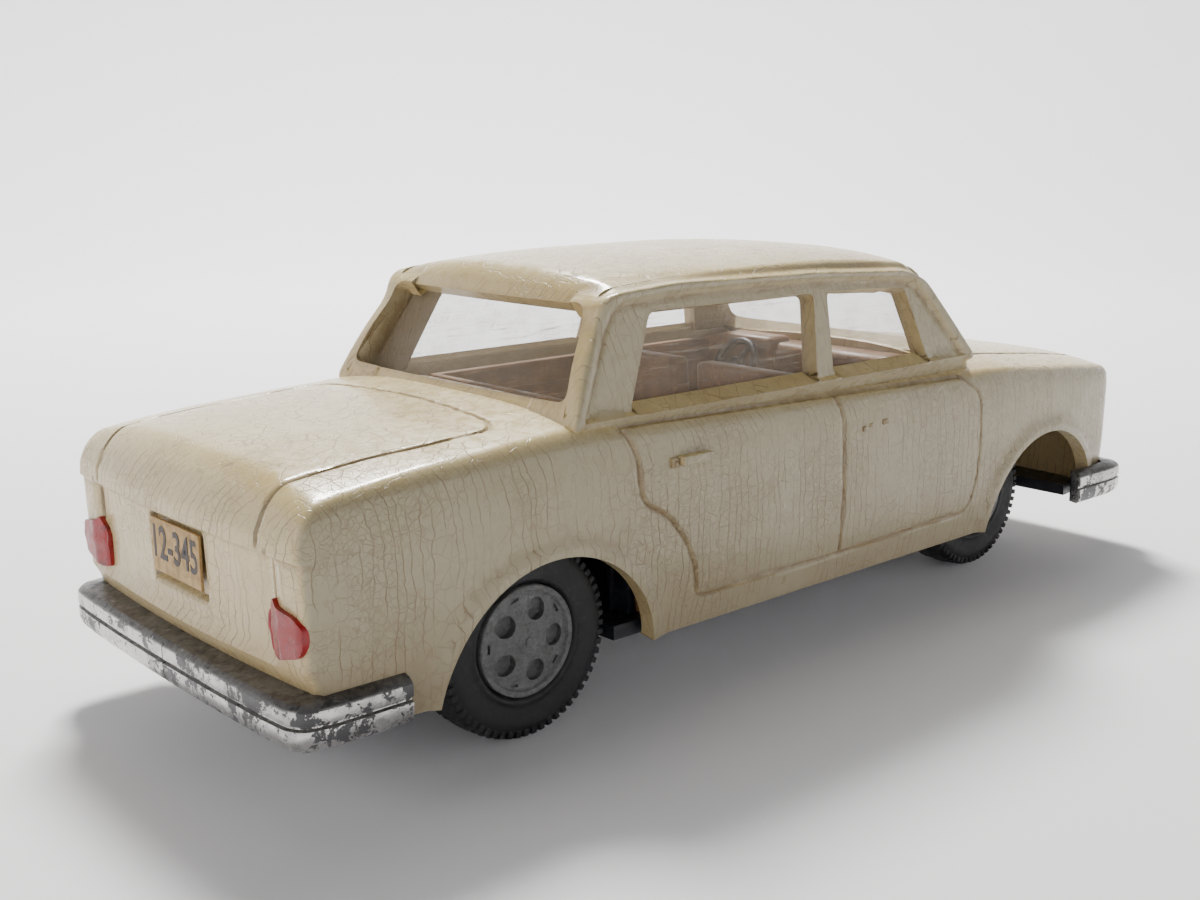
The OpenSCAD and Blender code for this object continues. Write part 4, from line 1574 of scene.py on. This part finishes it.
class SALOON_OT_steering_wheel(SaloonPiece, bpy.types.Operator):
    """Makes the ribbed steering wheel and its column"""

    bl_idname = "saloon.steering_wheel"
    bl_label = "Steering wheel"

    def execute(self, context):
        mat = tinted_plastic("saloon_steering_plastic", (0.006, 0.009, 0.022), (0.03, 0.03, 0.04), dust=0.08)
        finish_piece(make_steering_wheel(), "car", mat, ["steering_wheel"])
        return {"FINISHED"}


class SALOON_OT_bumpers(SaloonPiece, bpy.types.Operator):
    """Makes the two foiled bumpers"""

    bl_idname = "saloon.bumpers"
    bl_label = "Bumpers"

    def execute(self, context):
        rear = make_bumper("rear_bumper_band", -1, float(BUMPER_LO[2]), float(BUMPER_HI[2]))
        finish_piece(rear, "car", foiled_plastic("saloon_rear_foil", 0.476), ["rear_bumper"], 30)
        front = make_bumper("front_bumper_band", 1, float(FRONT_BUMPER_LO[2]), float(FRONT_BUMPER_HI[2]))
        finish_piece(front, "car", foiled_plastic("saloon_front_foil", 0.470), ["front_bumper"], 30)
        return {"FINISHED"}


class SALOON_OT_front_face(SaloonPiece, bpy.types.Operator):
    """Makes the grille and the two headlamps"""

    bl_idname = "saloon.front_face"
    bl_label = "Grille and headlamps"

    def execute(self, context):
        finish_piece(make_grille(), "car", foiled_plastic("saloon_grille_foil", 0.430), ["front_grille"])
        for side in ("left", "right"):
            lamp = make_headlamp("headlamp_lens_" + side, "headlamp_" + side)
            finish_piece(lamp, "car", lamp_clear(), ["headlamp_" + side])
        return {"FINISHED"}


class SALOON_OT_tail_lamps(SaloonPiece, bpy.types.Operator):
    """Makes the two painted tail lamps"""

    bl_idname = "saloon.tail_lamps"
    bl_label = "Tail lamps"

    def execute(self, context):
        for side, s in (("left", 1), ("right", -1)):
            lamp = make_tail_lamp("tail_lamp_relief_" + side, s)
            finish_piece(lamp, "car", red_paint(), ["tail_lamp_" + side])
        return {"FINISHED"}


class SALOON_OT_label(SaloonPiece, bpy.types.Operator):
    """Makes the number label and its generic digits"""

    bl_idname = "saloon.label"
    bl_label = "Number label"

    def execute(self, context):
        card, lo, hi = make_label()
        finish_piece(card, "car", label_card(), ["rear_plate_label"])
        finish_piece(make_digits(lo, hi), "car", drawn_ink(), smooth=0)
        return {"FINISHED"}


WHEEL_SPIN = {"rear": 0.35, "front": 1.1}


class SALOON_OT_wheels(SaloonPiece, bpy.types.Operator):
    """Makes the four wheel discs and tyres, each a copy of one disc and one tyre"""

    bl_idname = "saloon.wheels"
    bl_label = "Wheels"

    def execute(self, context):
        disc, tyre = make_disc("disc_pattern"), make_tyre("tyre_pattern")
        for end, body, x in (("rear", "rear_wheels", REAR_X), ("front", "front_wheels", FRONT_X)):
            for side, s in (("right", 1), ("left", -1)):
                lo, hi = node_mm("wheel_disc_%s_%s" % (end, side))
                outer = max(abs(lo[1]), abs(hi[1]))
                turn = Matrix.Rotation(0.0 if s > 0 else math.pi, 4, "Z")
                spin = Matrix.Rotation(WHEEL_SPIN[end], 4, "Y")
                put_at = Matrix.Translation((x, -s * (outer - 0.10), AXLE_Z)) @ turn @ spin
                piece = turned_copy(disc, "disc_face_%s_%s" % (end, side), put_at)
                finish_piece(piece, body, cast_disc(), ["wheel_disc_%s_%s" % (end, side)], 30)
                lo, hi = node_mm("tyre_%s_%s" % (end, side))
                put_at = Matrix.Translation((x, float(lo[1] + hi[1]) / 2, AXLE_Z)) @ turn @ spin
                piece = turned_copy(tyre, "tyre_rubber_%s_%s" % (end, side), put_at)
                finish_piece(piece, body, tyre_rubber(), ["tyre_%s_%s" % (end, side)], 30)
        for pattern in (disc, tyre):
            bpy.data.objects.remove(pattern, do_unlink=True)
        return {"FINISHED"}


class SALOON_OT_underside(SaloonPiece, bpy.types.Operator):
    """Gives the floor plate, its screws and the axles their finishes"""

    bl_idname = "saloon.underside"
    bl_label = "Floor plate, screws and axles"

    def execute(self, context):
        c = colours()
        black = tinted_plastic("saloon_floor_plastic", tuple(c.black), (0.07, 0.065, 0.06), dust=0.3, grain=1.4)
        wall = block("wheel_housing_walls", (-23.3, -17.4, 8.25), (-22.3, 17.4, 24.2))
        ribs = [block("rib", (-23.7, y - 0.3, 8.25), (-23.1, y + 0.3, 23.5)) for y in (-15.0, -9.0, 9.0, 15.0)]
        for r in ribs:
            bevel(r, 0.12, 2)
        bevel(wall, 0.2, 2)
        wall = join("wheel_housing_walls", [wall] + ribs)
        finish_piece(wall, "car", black)
        finishes = {
            "base_plate": black,
            "base_screws": bare_steel("saloon_screw_steel", 0.42),
            "front_axle": bare_steel("saloon_axle_steel", 0.50),
            "rear_axle": bare_steel("saloon_axle_steel", 0.50),
        }
        for node, mat in finishes.items():
            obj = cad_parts[node]
            if not obj.material_slots:
                obj.data.materials.append(mat)
            for s in obj.material_slots:
                s.material = mat
        return {"FINISHED"}


class SALOON_OT_stage(SaloonPiece, bpy.types.Operator):
    """Sets the pale paper sweep, the soft lights and the camera"""

    bl_idname = "saloon.stage"
    bl_label = "Stage"

    def execute(self, context):
        deselect()
        flat, bend, steps = 0.42, 0.26, 12
        bpy.ops.mesh.primitive_circle_add(vertices=96, radius=flat, fill_type="NGON")
        floor = context.object
        floor.name = floor.data.name = "paper_sweep"
        edit(floor, "EDGE")
        bpy.ops.mesh.region_to_loop()
        for k in range(1, steps + 1):
            a0, a1 = math.pi / 2 * (k - 1) / steps, math.pi / 2 * k / steps
            r0, r1 = flat + bend * math.sin(a0), flat + bend * math.sin(a1)
            rise = bend * (math.cos(a0) - math.cos(a1))
            bpy.ops.mesh.extrude_region_move(TRANSFORM_OT_translate={"value": (0, 0, rise)})
            bpy.ops.transform.resize(value=(r1 / r0, r1 / r0, 1), center_override=(0, 0, 0))
        bpy.ops.mesh.extrude_region_move(TRANSFORM_OT_translate={"value": (0, 0, 0.12)})
        leave()
        bpy.ops.object.shade_smooth()
        floor.data.materials.append(studio_floor())

        def soft_light(name, energy, size, place_at, target=(0, 0, 0.015), tint=(1, 1, 1)):
            deselect()
            bpy.ops.object.light_add(type="AREA", location=place_at)
            lamp = context.object
            lamp.name = lamp.data.name = name
            lamp.data.energy, lamp.data.size, lamp.data.color = energy, size, tint
            lamp.rotation_euler = (Vector(target) - Vector(place_at)).to_track_quat("-Z", "Y").to_euler()

        soft_light("window_light", 9.6, 0.15, (0.20, 0.36, 0.52), tint=(1.0, 0.985, 0.955))
        soft_light("ceiling_light", 0.45, 0.5, (0.0, 0.25, 0.72))
        soft_light("tail_fill", 0.55, 0.25, (-0.52, 0.10, 0.30), tint=(1.0, 0.98, 0.95))
        soft_light("backdrop_light", 1.9, 0.3, (0.20, 0.22, 0.55), target=(0.55, 0.55, 0.06))

        world = bpy.data.worlds.get("paper_room") or bpy.data.worlds.new("paper_room")
        context.scene.world = world
        world.use_nodes = True
        back = world.node_tree.nodes["Background"]
        back.inputs["Color"].default_value = (0.86, 0.88, 0.92, 1)
        back.inputs["Strength"].default_value = 0.05

        yaw, pitch, roll = (math.radians(v) for v in (47.6, 11.8, -0.36))
        ahead = Vector((math.cos(yaw), math.sin(yaw), 0))
        right = Vector((math.sin(yaw), -math.cos(yaw), 0))
        up = Vector((0, 0, 1))
        view = ahead * math.cos(pitch) - up * math.sin(pitch)
        top = up * math.cos(pitch) + ahead * math.sin(pitch)
        x_axis = right * math.cos(roll) + top * math.sin(roll)
        y_axis = top * math.cos(roll) - right * math.sin(roll)
        deselect()
        bpy.ops.object.camera_add(location=(-0.1109, -0.11505, 0.05377))
        camera = context.object
        camera.name = camera.data.name = "viewpoint"
        turn = Matrix((x_axis, y_axis, -view)).transposed()
        camera.rotation_euler = turn.to_euler()
        camera.data.sensor_width = 36
        camera.data.lens = 42.66
        camera.data.shift_x, camera.data.shift_y = -0.0325, -0.015
        camera.data.clip_start = 0.005
        context.scene.camera = camera
        deselect()
        return {"FINISHED"}


class SALOON_PT_workshop(bpy.types.Panel):
    """Lists the sizes, the colours and the pieces"""

    bl_idname = "SALOON_PT_workshop"
    bl_label = "Toy Saloon Workshop"
    bl_space_type = "VIEW_3D"
    bl_region_type = "UI"
    bl_category = "Toy Saloon"

    def draw(self, context):
        column = self.layout.column()
        for group, kind in SETTINGS.items():
            for name in kind.__annotations__:
                column.prop(getattr(context.scene, group), name)
        for piece in PIECES:
            column.operator(piece.bl_idname)


PIECES = (
    SALOON_OT_body, SALOON_OT_glazing, SALOON_OT_interior, SALOON_OT_steering_wheel, SALOON_OT_bumpers,
    SALOON_OT_front_face, SALOON_OT_tail_lamps, SALOON_OT_label, SALOON_OT_wheels, SALOON_OT_underside,
    SALOON_OT_stage,
)
SETTINGS = {
    "saloon_body": SaloonBodySizes, "saloon_wheels": SaloonWheelSizes, "saloon_colours": SaloonColours
}
CLASSES = tuple(SETTINGS.values()) + PIECES + (SALOON_PT_workshop,)


def register():
    for c in CLASSES:
        bpy.utils.register_class(c)
    for name, group in SETTINGS.items():
        setattr(bpy.types.Scene, name, bpy.props.PointerProperty(type=group))


def unregister():
    for name in SETTINGS:
        delattr(bpy.types.Scene, name)
    for c in reversed(CLASSES):
        bpy.utils.unregister_class(c)


def main():
    register()
    deselect()
    bpy.ops.saloon.body()
    bpy.ops.saloon.glazing()
    bpy.ops.saloon.interior()
    bpy.ops.saloon.steering_wheel()
    bpy.ops.saloon.bumpers()
    bpy.ops.saloon.front_face()
    bpy.ops.saloon.tail_lamps()
    bpy.ops.saloon.label()
    bpy.ops.saloon.wheels()
    bpy.ops.saloon.underside()
    bpy.ops.saloon.stage()


if __name__ == "__main__":
    main()
